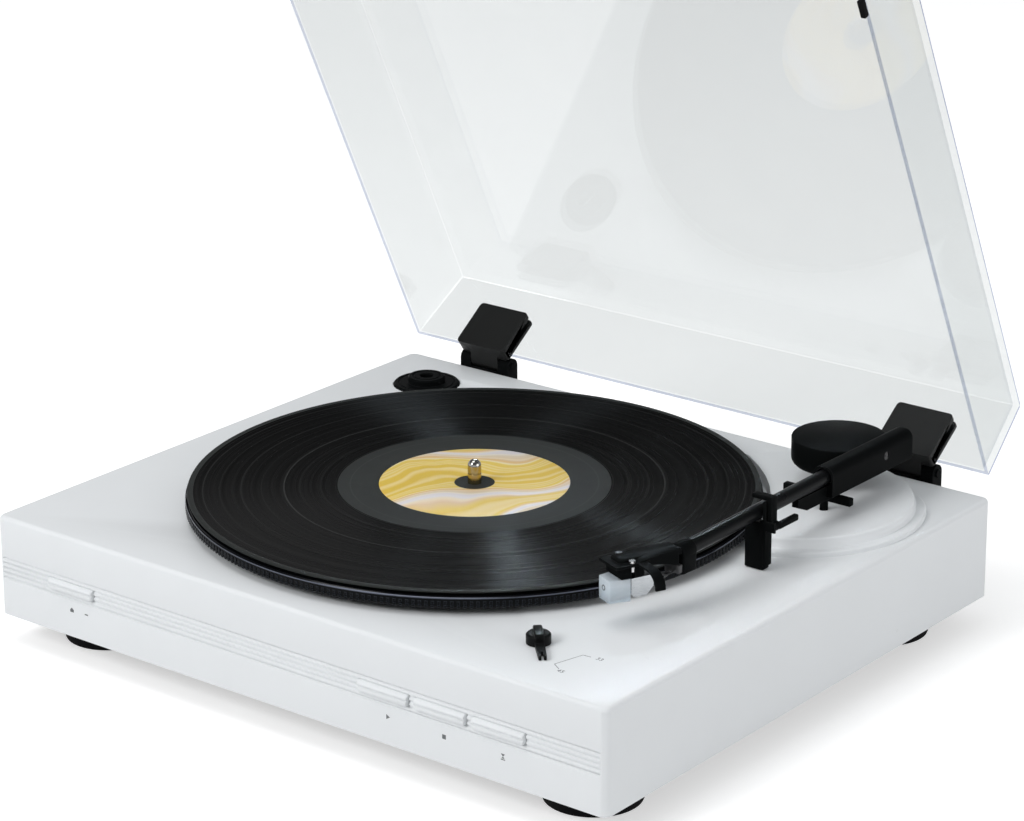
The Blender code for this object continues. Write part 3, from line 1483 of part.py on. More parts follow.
def make_beam(place):
    beam = outline_solid("beam", [beam_section()], BEAM_FRONT, BEAM_REAR, place, axis="Y")
    tongue_top = tube_height(TONGUE_FRONT) - TUBE_RADIUS - GAP
    low = TOP + TONGUE_BOTTOM
    nose = low + TONGUE_NOSE
    outline = [
        (TONGUE_FRONT, nose),
        (TONGUE_FRONT + TONGUE_NOSE_LENGTH, low),
        (TONGUE_REAR, low),
        (TONGUE_REAR, tongue_top),
        (TONGUE_FRONT, tongue_top),
    ]
    tongue = outline_solid(
        "tongue",
        [outline],
        LEFT + TUBE_X - TONGUE_WIDTH / 2,
        LEFT + TUBE_X + TONGUE_WIDTH / 2,
        place,
        axis="X",
    )
    mouth = cylinder(
        "beam_mouth",
        BEAM_MOUTH_RADIUS,
        tube_point(BEAM_FRONT - OVERRUN),
        tube_point(BEAM_FRONT + BEAM_MOUTH_DEPTH),
        place,
    )
    bore = cylinder(
        "beam_bore",
        TUBE_RADIUS + GAP,
        tube_point(BEAM_FRONT),
        tube_point(TUBE_REAR_Y + GAP),
        place,
    )
    pin_hole = cylinder(
        "beam_pin_hole",
        LIFT_PIN_RADIUS + GAP,
        (BEAM_CENTRE - BEAM_WIDTH, LIFT_AXIS_Y, LIFT_AXIS_Z),
        (BEAM_CENTRE + BEAM_WIDTH, LIFT_AXIS_Y, LIFT_AXIS_Z),
        place,
        segments=TINY,
    )
    pocket_rear = BEAM_REAR - WEIGHT_FROM_REAR
    pocket_front = pocket_rear - WEIGHT_LENGTH - 2 * GAP
    bottom = TOP + BEAM_BOTTOM
    across = WEIGHT_WIDTH / 2
    pocket = box(
        "weight_pocket",
        (BEAM_CENTRE - across - GAP, pocket_front, bottom - OVERRUN),
        (BEAM_CENTRE + across + GAP, pocket_rear, bottom + WEIGHT_HEIGHT + GAP),
        place,
    )
    unite(beam, tongue)
    cut(beam, mouth, bore, pin_hole, pocket)
    part(beam, "arm_beam", finish("arm_beam", BLACK, 0.4))
    weight = box(
        "counterweight",
        (BEAM_CENTRE - across, pocket_front + GAP, bottom),
        (BEAM_CENTRE + across, pocket_rear - GAP, bottom + WEIGHT_HEIGHT),
        place,
    )
    part(weight, "counterweight", finish("counterweight", STEEL, 0.4, 0.9), smooth=False)


def make_tube(place):
    tube = cylinder("tube", TUBE_RADIUS, tube_point(TUBE_FRONT_Y), tube_point(TUBE_REAR_Y), place)
    part(tube, "arm_tube", finish("arm_tube", BLACK, 0.3))
    collar = cylinder(
        "collar", COLLAR_RADIUS, tube_point(COLLAR_FRONT), tube_point(COLLAR_REAR), place, edge=PLUG_EDGE
    )
    bottom = tube_height(COLLAR_FRONT) - PLUG_HEIGHT - COLLAR_RADIUS / 2
    plug = box(
        "plug",
        (LEFT + TUBE_X - PLUG_WIDTH / 2, COLLAR_FRONT, bottom),
        (LEFT + TUBE_X + PLUG_WIDTH / 2, COLLAR_REAR, tube_height(COLLAR_FRONT)),
        place,
        edge=PLUG_EDGE,
    )
    bore = cylinder(
        "collar_bore",
        TUBE_RADIUS + GAP,
        tube_point(TUBE_FRONT_Y - GAP),
        tube_point(COLLAR_REAR + OVERRUN),
        place,
    )
    unite(collar, plug)
    cut(collar, bore)
    part(collar, "headshell_plug", finish("headshell_plug", BLACK, 0.45))


def headshell_place(place):
    """A place whose X runs across the headshell and whose Y runs back from its tip."""
    tip = empty("headshell_tip", (0, 0, 0), place.parent)
    tip.matrix_basis = place.to_local @ Matrix.LocRotScale(
        (LEFT + HEADSHELL_X, HEADSHELL_Y, 0), Matrix.Rotation(HEADSHELL_ANGLE, 3, "Z"), None
    )
    return Place(tip)


def make_headshell(place):
    shell_place = headshell_place(place)
    own = {"local": True}
    half = FLANGE_WIDTH / 2
    top = TOP + FLANGE_TOP
    under = FLANGE_UNDER
    neck = FLANGE_LENGTH + FLANGE_LUG
    outline = [
        (-half, 0),
        (half, 0),
        (half, FLANGE_LENGTH),
        (RIB_HALF_WIDTH, neck),
        (RIB_HALF_WIDTH, RIB_BEND),
        (-RIB_HALF_WIDTH, RIB_BEND),
        (-RIB_HALF_WIDTH, neck),
        (-half, FLANGE_LENGTH),
    ]
    shell = outline_solid("shell", [outline], under, top, shell_place, **own)
    rib = box(
        "rib",
        (-RIB_HALF_WIDTH, RIB_FRONT, under + RIB_SEAT),
        (RIB_HALF_WIDTH, RIB_REAR, TOP + RIB_TOP),
        shell_place,
        edge=RIB_EDGE,
        **own,
    )
    trim = box(
        "rib_trim",
        (LEFT + TUBE_X - FLANGE_WIDTH, COLLAR_FRONT - GAP, under - OVERRUN),
        (LEFT + TUBE_X + FLANGE_WIDTH, COLLAR_REAR, TOP + RIB_TOP + OVERRUN),
        place,
    )
    holes = []
    slots = [side * SHELL_SCREW_PITCH / 2 for side in (-1, 1)]
    for x in slots:
        holes.append(
            cylinder(
                "shell_hole",
                SHELL_SCREW_RADIUS + GAP,
                (x, SHELL_SCREW_Y, under - OVERRUN),
                (x, SHELL_SCREW_Y, top + OVERRUN),
                shell_place,
                segments=TINY,
                **own,
            )
        )
    unite(shell, rib)
    cut(shell, trim, gather("shell_holes", holes, shell_place))
    part(shell, "headshell", finish("headshell", BLACK, 0.45))

    for side, x in zip(("left", "right"), slots):
        head = cylinder(
            "shell_screw",
            SHELL_SCREW_HEAD_RADIUS,
            (x, SHELL_SCREW_Y, top + GAP),
            (x, SHELL_SCREW_Y, top + GAP + SHELL_SCREW_HEAD),
            shell_place,
            segments=TINY,
            **own,
        )
        thread = cylinder(
            "shell_screw_thread",
            SHELL_SCREW_RADIUS,
            (x, SHELL_SCREW_Y, under - MOUNT_HEIGHT / 2),
            (x, SHELL_SCREW_Y, top + GAP + SHELL_SCREW_HEAD / 2),
            shell_place,
            segments=TINY,
            **own,
        )
        unite(head, thread)
        name = "cartridge_screw_" + side
        part(head, name, finish(name, STEEL, 0.3, 1.0))
    make_finger_lift(shell_place, own)


def make_finger_lift(place, own):
    """A strip that leaves the flange's right side and curls down and out."""
    start = FLANGE_WIDTH / 2 + GAP
    top = TOP + FLANGE_TOP
    reach, drop, thick = LIFT_TAB_REACH, LIFT_TAB_DROP, LIFT_TAB_THICKNESS
    flat = LIFT_TAB_FLAT
    bend = reach - flat
    outer = [(start, top)]
    inner = [(start, top - thick)]
    for step in range(7):
        angle = math.radians(90 * step / 6)
        outer.append((start + flat + bend * math.sin(angle), top - drop * (1 - math.cos(angle))))
        inner.append(
            (
                start + flat + (bend - thick) * math.sin(angle),
                top - thick - (drop - thick) * (1 - math.cos(angle)),
            )
        )
    outline = outer + inner[::-1]
    low, high = LIFT_TAB_FRONT, LIFT_TAB_FRONT + LIFT_TAB_LENGTH
    tab = outline_solid("finger_lift", [outline], low, high, place, axis="Y", **own)
    part(tab, "finger_lift", finish("finger_lift", BLACK, 0.4))


def make_cartridge(place):
    shell_place = Place(bpy.data.objects["headshell_tip"])
    own = {"local": True}
    mount_top = FLANGE_UNDER - GAP
    mount = box(
        "mount",
        (-MOUNT_WIDTH / 2, MOUNT_FRONT, MOUNT_BOTTOM),
        (MOUNT_WIDTH / 2, MOUNT_REAR, mount_top),
        shell_place,
        edge=CARTRIDGE_EDGE / 2,
        **own,
    )
    holes = [
        cylinder(
            "mount_hole",
            SHELL_SCREW_RADIUS + GAP,
            (side * SHELL_SCREW_PITCH / 2, SHELL_SCREW_Y, MOUNT_BOTTOM - OVERRUN),
            (side * SHELL_SCREW_PITCH / 2, SHELL_SCREW_Y, mount_top + OVERRUN),
            shell_place,
            segments=TINY,
            **own,
        )
        for side in (-1, 1)
    ]
    cut(mount, gather("mount_holes", holes, shell_place))
    part(mount, "cartridge_mount", finish("cartridge_mount", BLACK, 0.5), smooth=False)

    body_top = MOUNT_BOTTOM - GAP
    body_bottom = body_top - CARTRIDGE_HEIGHT
    half = CARTRIDGE_HALF_WIDTH
    outline = [
        (CARTRIDGE_FRONT, body_bottom + CARTRIDGE_CHIN),
        (CARTRIDGE_FRONT + CARTRIDGE_CHIN, body_bottom),
        (CARTRIDGE_REAR - CARTRIDGE_STEP, body_bottom),
        (CARTRIDGE_REAR, body_bottom + CARTRIDGE_STEP),
        (CARTRIDGE_REAR, body_top),
        (CARTRIDGE_FRONT, body_top),
    ]
    body = outline_solid("body", [outline], -half, half, shell_place, axis="X", **own)
    part(body, "cartridge_body", finish("cartridge_body", (0.45, 0.46, 0.47), 0.45), smooth=False)

    back = box(
        "back_plate",
        (-half, CARTRIDGE_REAR + GAP, body_bottom + CARTRIDGE_STEP),
        (half, CARTRIDGE_REAR + GAP + PLATE_THICKNESS, body_top),
        shell_place,
        **own,
    )
    pins = [
        cylinder(
            "terminal",
            TERMINAL_RADIUS,
            (x, CARTRIDGE_REAR + GAP + PLATE_THICKNESS / 2, z),
            (x, CARTRIDGE_REAR + GAP + PLATE_THICKNESS + TERMINAL_LENGTH, z),
            shell_place,
            segments=TINY,
            **own,
        )
        for x, z in terminal_places()
    ]
    unite(back, *pins)
    part(back, "cartridge_terminals", finish("cartridge_terminals", DARK, 0.4), smooth=False)
    make_guard(shell_place, body_top, own)
    make_stylus(shell_place, body_bottom, own)
    make_wires(place, shell_place)


def terminal_places():
    middle = MOUNT_BOTTOM - GAP - TERMINALS_BELOW_TOP
    heights = (middle - WIRE_PITCH / 2, middle + WIRE_PITCH / 2)
    return [(side * WIRE_PITCH, height) for height in heights for side in (-1, 1)]


def make_guard(place, top, own):
    """The clear stylus guard: a hood open below and behind, narrower at its front."""
    rear = CARTRIDGE_FRONT - GAP
    front, low = GUARD_FRONT, top - GUARD_HEIGHT
    wide, narrow = GUARD_REAR_WIDTH / 2, GUARD_FRONT_WIDTH / 2
    edge = GUARD_EDGE
    outline = [(wide, rear), (-wide, rear)]
    outline += arc((-narrow + edge, front + edge), edge, 180, 270, 3)
    outline += arc((narrow - edge, front + edge), edge, 270, 360, 3)
    guard = outline_solid("guard", [outline], low, top, place, **own)
    wall = GUARD_WALL
    inside = [
        (wide - wall, rear + OVERRUN),
        (-wide + wall, rear + OVERRUN),
        (-narrow + wall, front + wall),
        (narrow - wall, front + wall),
    ]
    hollow = outline_solid("guard_hollow", [inside], low - OVERRUN, top - wall, place, **own)
    cut(guard, hollow)
    part(guard, "stylus_guard", finish("stylus_guard", (0.75, 0.80, 0.84), 0.2, 0.0, 0.6))


def make_stylus(place, body_bottom, own):
    base = Vector((0, CARTRIDGE_FRONT - GAP, body_bottom + STYLUS_BASE_HEIGHT))
    floor = MOUNT_BOTTOM - GAP - GUARD_HEIGHT
    tip = Vector((0, STYLUS_TIP_Y, floor + STYLUS_TIP_HEIGHT + STYLUS_TIP_LENGTH))
    lever = cylinder("lever", STYLUS_RADIUS, base, tip, place, segments=TINY, **own)
    point = cylinder(
        "tip",
        STYLUS_TIP_RADIUS,
        tip + Vector((0, STYLUS_RADIUS, -STYLUS_TIP_LENGTH - STYLUS_RADIUS / 2)),
        tip + Vector((0, STYLUS_RADIUS, STYLUS_RADIUS / 2)),
        place,
        segments=TINY,
        **own,
    )
    unite(lever, point)
    part(lever, "stylus", finish("stylus", STEEL, 0.3, 0.9))


def make_wires(place, shell_place):
    """Four thin leads from the cartridge's pins to a boot on the plug block behind them."""
    to_arm = shell_place.parent.matrix_basis
    routes = []
    start_y = CARTRIDGE_REAR + 2 * GAP + PLATE_THICKNESS + TERMINAL_LENGTH
    plug_middle = tube_height(COLLAR_FRONT) - PLUG_HEIGHT
    lowest = terminal_places()[0][1]
    for index, (x, z) in enumerate(terminal_places()):
        start = to_arm @ Vector((x, start_y, z))
        across = (index - (WIRE_COUNT - 1) / 2) * WIRE_PITCH
        goal = Vector((LEFT + TUBE_X + across, COLLAR_FRONT - BOOT_LENGTH / 2, plug_middle + z - lowest))
        end = place.to_local @ goal
        route = []
        for step in range(WIRE_SPANS + 1):
            share = step / WIRE_SPANS
            point = start.lerp(end, share)
            point.z -= WIRE_SAG * math.sin(math.pi * share)
            route.append(point)
        routes.append(route)
    across = WIRE_PITCH * WIRE_COUNT / 2
    boot = box(
        "boot",
        (LEFT + TUBE_X - across, COLLAR_FRONT - GAP - BOOT_LENGTH, plug_middle - WIRE_PITCH / 2),
        (LEFT + TUBE_X + across, COLLAR_FRONT - GAP, plug_middle + WIRE_PITCH + WIRE_PITCH / 2),
        place,
        edge=WIRE_RADIUS,
    )
    unite(boot, *[wire("wire", route, WIRE_RADIUS, place, local=True) for route in routes])
    part(boot, "headshell_wires", finish("headshell_wires", (0.7, 0.7, 0.68), 0.5))


def make_cue_lifter():
    top = TOP + TONGUE_BOTTOM - GAP
    rise = empty("cue_rise", (LEFT + CUE_ROD_X, CUE_BAR_Y, top), ORIGIN)
    place = Place(rise)
    bar = box(
        "cue_bar",
        (LEFT + CUE_BAR_LEFT, CUE_BAR_Y - CUE_BAR_DEPTH / 2, top - CUE_BAR_HEIGHT),
        (LEFT + CUE_BAR_RIGHT, CUE_BAR_Y + CUE_BAR_DEPTH / 2, top),
        place,
        edge=CUE_BAR_EDGE,
    )
    rod = cylinder(
        "cue_rod",
        CUE_ROD_RADIUS,
        (LEFT + CUE_ROD_X, CUE_BAR_Y, TOP - CUE_ROD_BELOW_TOP),
        (LEFT + CUE_ROD_X, CUE_BAR_Y, top - CUE_BAR_HEIGHT / 2),
        place,
        segments=TINY,
    )
    unite(bar, rod)
    part(bar, "cue_lifter", finish("cue_lifter", BLACK, 0.4))


def post_right():
    return LEFT + POST_LEFT + POST_WIDTH


def make_rest():
    place = ORIGIN_PLACE
    left = LEFT + POST_LEFT
    right = post_right()
    rear = POST_FRONT + POST_DEPTH
    tube_low = tube_height(POST_FRONT) - TUBE_RADIUS - GAP
    post = box("post", (left, POST_FRONT, TOP + GAP), (right, rear, tube_low), place, edge=POST_EDGE)
    horn_left = LEFT + TUBE_X + TUBE_RADIUS + 2 * GAP
    horn = box(
        "horn",
        (horn_left, POST_FRONT, TOP + PLINTH_WALL),
        (horn_left + HORN_WIDTH, rear, TOP + HORN_TOP),
        place,
        edge=POST_EDGE / 2,
    )
    axis_x = horn_left + HORN_WIDTH + GAP + CLIP_BOSS_RADIUS
    axis_z = TOP + CLIP_PIVOT_HEIGHT
    ear = box(
        "ear",
        (right - OVERRUN, POST_FRONT, axis_z - CLIP_BOSS_RADIUS),
        (axis_x + CLIP_BOSS_RADIUS, POST_FRONT + CLIP_PIN_HEAD, axis_z + CLIP_BOSS_RADIUS),
        place,
    )
    pin = cylinder(
        "clip_pin",
        CLIP_PIN_RADIUS,
        (axis_x, POST_FRONT + CLIP_PIN_HEAD / 2, axis_z),
        (axis_x, rear, axis_z),
        place,
        segments=TINY,
    )
    unite(post, horn, ear, pin)
    part(post, "arm_rest_post", finish("arm_rest_post", BLACK, 0.45))
    make_clip(axis_x, axis_z)


def make_clip(axis_x, axis_z):
    clip_front = POST_FRONT + CLIP_PIN_HEAD + GAP
    turn = empty("clip_turn", (axis_x, clip_front, axis_z), ORIGIN)
    place = Place(turn)
    low = TOP + HORN_TOP + GAP
    top = low + CLIP_BLADE_HEIGHT
    side = axis_x - CLIP_BOSS_RADIUS
    rear = clip_front + CLIP_BLADE_DEPTH
    blade = box(
        "blade",
        (LEFT + CLIP_BLADE_LEFT, clip_front, low),
        (side + CLIP_WIDTH, rear, top),
        place,
        edge=POST_EDGE / 2,
    )
    upright = box(
        "upright",
        (side, clip_front, axis_z),
        (side + CLIP_WIDTH, rear, top),
        place,
        edge=POST_EDGE / 4,
    )
    boss = cylinder(
        "boss",
        CLIP_BOSS_RADIUS,
        (axis_x, clip_front, axis_z),
        (axis_x, clip_front + CLIP_BOSS_DEPTH, axis_z),
        place,
        segments=TINY,
    )
    tab = box(
        "tab",
        (axis_x, rear - OVERRUN, axis_z - CLIP_TAB_HEIGHT / 2),
        (axis_x + CLIP_TAB_WIDTH, rear + CLIP_TAB_LENGTH, axis_z + CLIP_TAB_HEIGHT / 2),
        place,
        edge=POST_EDGE,
    )
    hole = cylinder(
        "clip_hole",
        CLIP_PIN_RADIUS + GAP,
        (axis_x, clip_front - OVERRUN, axis_z),
        (axis_x, rear + OVERRUN, axis_z),
        place,
        segments=TINY,
    )
    unite(blade, upright, boss, tab)
    cut(blade, hole)
    part(blade, "arm_rest_clip", finish("arm_rest_clip", BLACK, 0.4))


def make_cover():
    hinge = empty("cover_hinge", (0, HINGE_AXIS_Y, HINGE_Z), ORIGIN)
    place = Place(hinge)
    rim, top = TOP + LID_RIM, TOP + LID_RIM + LID_HEIGHT
    half = LID_WIDTH / 2
    cover = cover_block("cover", 0, rim, top, LID_EDGE, place)
    cut(cover, cover_block("cover_inside", LID_WALL, rim - OVERRUN, top - LID_WALL, 0, place))
    part(cover, "dust_cover", finish("dust_cover", (0.85, 0.87, 0.89), 0.05, 0.0, 0.25))

    for name, side in (("cover_bumper_left", -1), ("cover_bumper_right", 1)):
        outer = side * (half - GAP)
        inner = side * (half - GAP - BUMPER_WIDTH)
        bumper = box(
            "bumper",
            (min(outer, inner), BUMPER_Y - BUMPER_LENGTH / 2, TOP + GAP),
            (max(outer, inner), BUMPER_Y + BUMPER_LENGTH / 2, rim - GAP),
            place,
            edge=BUMPER_EDGE,
        )
        part(bumper, name, finish(name, DARK, 0.8))
    for name, side in (("left", -1), ("right", 1)):
        make_hinge(name, side * (PLINTH_WIDTH / 2 - HINGE_FROM_SIDE), place)
    hinge.rotation_euler.x = -LID_OPEN


def cover_block(name, wall, low, high, edge, place):
    """The tapered block of the cover's outside, or the smaller one of its inside."""
    shape = bmesh.new()
    bmesh.ops.create_cube(shape, size=1.0)
    side_wall = wall * math.hypot(1, LID_SIDE_SLANT / LID_HEIGHT)
    rear_wall = wall * math.hypot(1, LID_REAR_SLANT / LID_HEIGHT)
    for vertex in shape.verts:
        z = high if vertex.co.z > 0 else low
        share = (z - TOP - LID_RIM) / LID_HEIGHT
        x = math.copysign(LID_WIDTH / 2 - LID_SIDE_SLANT * share - side_wall, vertex.co.x)
        front = LID_FRONT + LID_SIDE_SLANT * share + side_wall
        rear = LID_REAR - LID_REAR_SLANT * share - rear_wall
        vertex.co = (x, rear if vertex.co.y > 0 else front, z)
    bevel_edges(shape, [e for e in shape.edges if max(v.co.z for v in e.verts) > low + GAP], edge, 2)
    return from_bmesh(name, shape, place)


def wall_point(up, out):
    """A point in Y and Z beside the cover's slanted rear wall: up it from the rim, and out from it."""
    lean = Vector((-LID_REAR_SLANT, LID_HEIGHT)).normalized()
    away = Vector((lean.y, -lean.x))
    foot = Vector((LID_REAR, TOP + LID_RIM))
    return foot + lean * up + away * out


def make_hinge(name, x, place):
    """The upper half grips the cover's rear wall; the lower half is fixed behind the plinth."""
    back = GAP + SOCKET_BACK_THICKNESS
    front = -(LID_WALL + GAP + SOCKET_FRONT_THICKNESS)
    under = -(GAP + SOCKET_LIP)
    grip = [
        wall_point(under, front),
        wall_point(under, back),
        wall_point(SOCKET_LENGTH, back),
        wall_point(SOCKET_LENGTH, GAP),
        wall_point(-GAP, GAP),
        wall_point(-GAP, -LID_WALL - GAP),
        wall_point(SOCKET_LENGTH, -LID_WALL - GAP),
        wall_point(SOCKET_LENGTH, front),
    ]
    half = SOCKET_WIDTH / 2
    socket = outline_solid("socket", [grip], x - half, x + half, place, axis="X")
    axis = Vector((HINGE_AXIS_Y, HINGE_Z))
    leaf = [
        wall_point(under, 0),
        *arc(axis, KNUCKLE_RADIUS, -100, 90, 10),
        wall_point(KNUCKLE_RADIUS * 2, back - GAP),
    ]
    knuckle = outline_solid(
        "knuckle", [leaf], x - KNUCKLE_WIDTH / 2, x + KNUCKLE_WIDTH / 2, place, axis="X"
    )
    hole = cylinder(
        "knuckle_hole",
        HINGE_PIN_RADIUS + GAP,
        (x - SOCKET_WIDTH, HINGE_AXIS_Y, HINGE_Z),
        (x + SOCKET_WIDTH, HINGE_AXIS_Y, HINGE_Z),
        place,
        segments=TINY,
    )
    unite(socket, knuckle)
    cut(socket, hole)
    socket_name = "hinge_socket_" + name
    part(socket, socket_name, finish(socket_name, BLACK, 0.45))
    make_bracket(name, x)


def make_bracket(name, x):
    """Two cheeks on a plate behind the plinth, with the riveted pin that carries the cover."""
    place = ORIGIN_PLACE
    face = PLINTH_DEPTH + GAP
    radius = HINGE_AXIS_Y - face
    low = TOP - CHEEK_BOTTOM
    outline = [(face, low), (face + CHEEK_PLATE, low), (HINGE_AXIS_Y + radius, low + CHEEK_CHAMFER)]
    outline += arc((HINGE_AXIS_Y, HINGE_Z), radius, 0, 180, 12)
    inner = KNUCKLE_WIDTH / 2 + GAP
    back = box(
        "back",
        (x - inner - CHEEK_WIDTH, face, low),
        (x + inner + CHEEK_WIDTH, face + CHEEK_PLATE, TOP - KNUCKLE_RADIUS),
        place,
    )
    cheeks = [
        outline_solid(
            "cheek",
            [outline],
            min(x + side * inner, x + side * (inner + CHEEK_WIDTH)),
            max(x + side * inner, x + side * (inner + CHEEK_WIDTH)),
            place,
            axis="X",
        )
        for side in (-1, 1)
    ]
    reach_x = inner + CHEEK_WIDTH
    pin = cylinder(
        "hinge_pin",
        HINGE_PIN_RADIUS,
        (x - reach_x, HINGE_AXIS_Y, HINGE_Z),
        (x + reach_x, HINGE_AXIS_Y, HINGE_Z),
        place,
        segments=TINY,
    )
    heads = [
        cylinder(
            "hinge_pin_head",
            HINGE_PIN_HEAD_RADIUS,
            (x + side * (reach_x - HINGE_PIN_HEAD), HINGE_AXIS_Y, HINGE_Z),
            (x + side * (reach_x + HINGE_PIN_HEAD), HINGE_AXIS_Y, HINGE_Z),
            place,
            segments=TINY,
        )
        for side in (-1, 1)
    ]
    unite(back, *cheeks, pin, *heads)
    bracket_name = "hinge_bracket_" + name
    part(back, bracket_name, finish(bracket_name, BLACK, 0.45))


def make_electronics():
    place = ORIGIN_PLACE
    corner = board_corner()
    low = BASE_TOP + BOARD_HEIGHT
    board = box(
        "board",
        (corner.x, corner.y, low),
        (corner.x + BOARD_WIDTH, corner.y + BOARD_DEPTH, low + BOARD_THICKNESS),
        place,
    )
    part(board, "circuit_board", finish("circuit_board", (0.02, 0.16, 0.06), 0.5), smooth=False)

    z = FOOT_HEIGHT + JACK_HEIGHT
    back = PLINTH_DEPTH
    plate = box(
        "jack_plate",
        (LEFT + JACK_X - JACK_PLATE_WIDTH / 2, back + GAP, z - JACK_PLATE_HEIGHT / 2),
        (LEFT + JACK_X + JACK_PLATE_WIDTH / 2, back + GAP + JACK_PLATE_THICKNESS, z + JACK_PLATE_HEIGHT / 2),
        place,
        edge=KEY_EDGE,
    )
    sleeves = []
    bores = []
    for side in (-1, 1):
        x = LEFT + JACK_X + side * JACK_PITCH / 2
        sleeves.append(
            cylinder("jack", JACK_RADIUS, (x, back - JACK_LENGTH, z), (x, back + JACK_LENGTH, z), place, TINY)
        )
        bores.append(
            cylinder(
                "jack_bore",
                JACK_CORE_RADIUS,
                (x, back, z),
                (x, back + JACK_LENGTH + OVERRUN, z),
                place,
                TINY,
            )
        )
    unite(plate, *sleeves)
    cut(plate, *bores)
    part(plate, "signal_jacks", finish("signal_jacks", DARK, 0.4))

    x = LEFT + POWER_JACK_X
    jack = cylinder(
        "power_jack",
        POWER_JACK_RADIUS,
        (x, back - JACK_LENGTH, z),
        (x, back + JACK_PLATE_THICKNESS, z),
        place,
        TINY,
    )
    bore = cylinder(
        "power_bore",
        POWER_JACK_RADIUS / 2,
        (x, back - JACK_LENGTH / 2, z),
        (x, back + JACK_LENGTH, z),
        place,
        TINY,
    )
    cut(jack, bore)
    part(jack, "power_jack", finish("power_jack", BLACK, 0.4))


make_plinth()
make_base()
make_feet()
make_platter()
make_record()
make_bearing()
make_drive()
make_cam_gear()
make_adapter()
make_selector()
make_keys()
make_arm_base()
make_arm()
make_cue_lifter()
make_rest()
make_cover()
make_electronics()
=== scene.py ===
"""Automatic turntable with its cover raised: camera, light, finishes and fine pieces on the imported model."""

import json
import math

import bmesh
import bpy
from mathutils import Matrix, Vector


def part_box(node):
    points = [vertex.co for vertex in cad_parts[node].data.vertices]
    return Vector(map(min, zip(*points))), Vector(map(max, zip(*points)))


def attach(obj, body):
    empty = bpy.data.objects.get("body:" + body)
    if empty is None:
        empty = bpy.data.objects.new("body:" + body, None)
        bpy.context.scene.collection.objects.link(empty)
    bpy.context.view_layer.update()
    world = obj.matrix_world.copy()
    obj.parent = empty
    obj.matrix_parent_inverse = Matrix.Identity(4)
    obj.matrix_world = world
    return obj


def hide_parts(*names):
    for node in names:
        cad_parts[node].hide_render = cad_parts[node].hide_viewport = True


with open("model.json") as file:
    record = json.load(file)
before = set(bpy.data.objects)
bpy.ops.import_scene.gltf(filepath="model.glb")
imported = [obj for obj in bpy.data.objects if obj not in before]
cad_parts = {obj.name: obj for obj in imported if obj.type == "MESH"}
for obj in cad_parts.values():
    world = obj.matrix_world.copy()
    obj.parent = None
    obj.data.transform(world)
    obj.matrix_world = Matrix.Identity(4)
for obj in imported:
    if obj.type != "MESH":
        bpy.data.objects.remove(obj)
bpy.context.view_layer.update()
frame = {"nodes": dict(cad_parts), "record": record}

MM = 0.001
QUARTER_TURN = math.radians(90)
COVER_OPEN = math.radians(64.5)
HINGE_AXIS = Vector((0, 156.1 * MM, 75.0 * MM))
TURRET_CENTRE = Vector((124.3 * MM, 74.3 * MM, 0))
SLOT_OF = {row["node"]: row["material_slot"] for row in frame["record"]["subparts"]}
BODY_OF = {node: body for body, nodes in frame["record"]["behaviour"]["bodies"].items() for node in nodes}
DRESSED = set()


# Finishes: the node trees


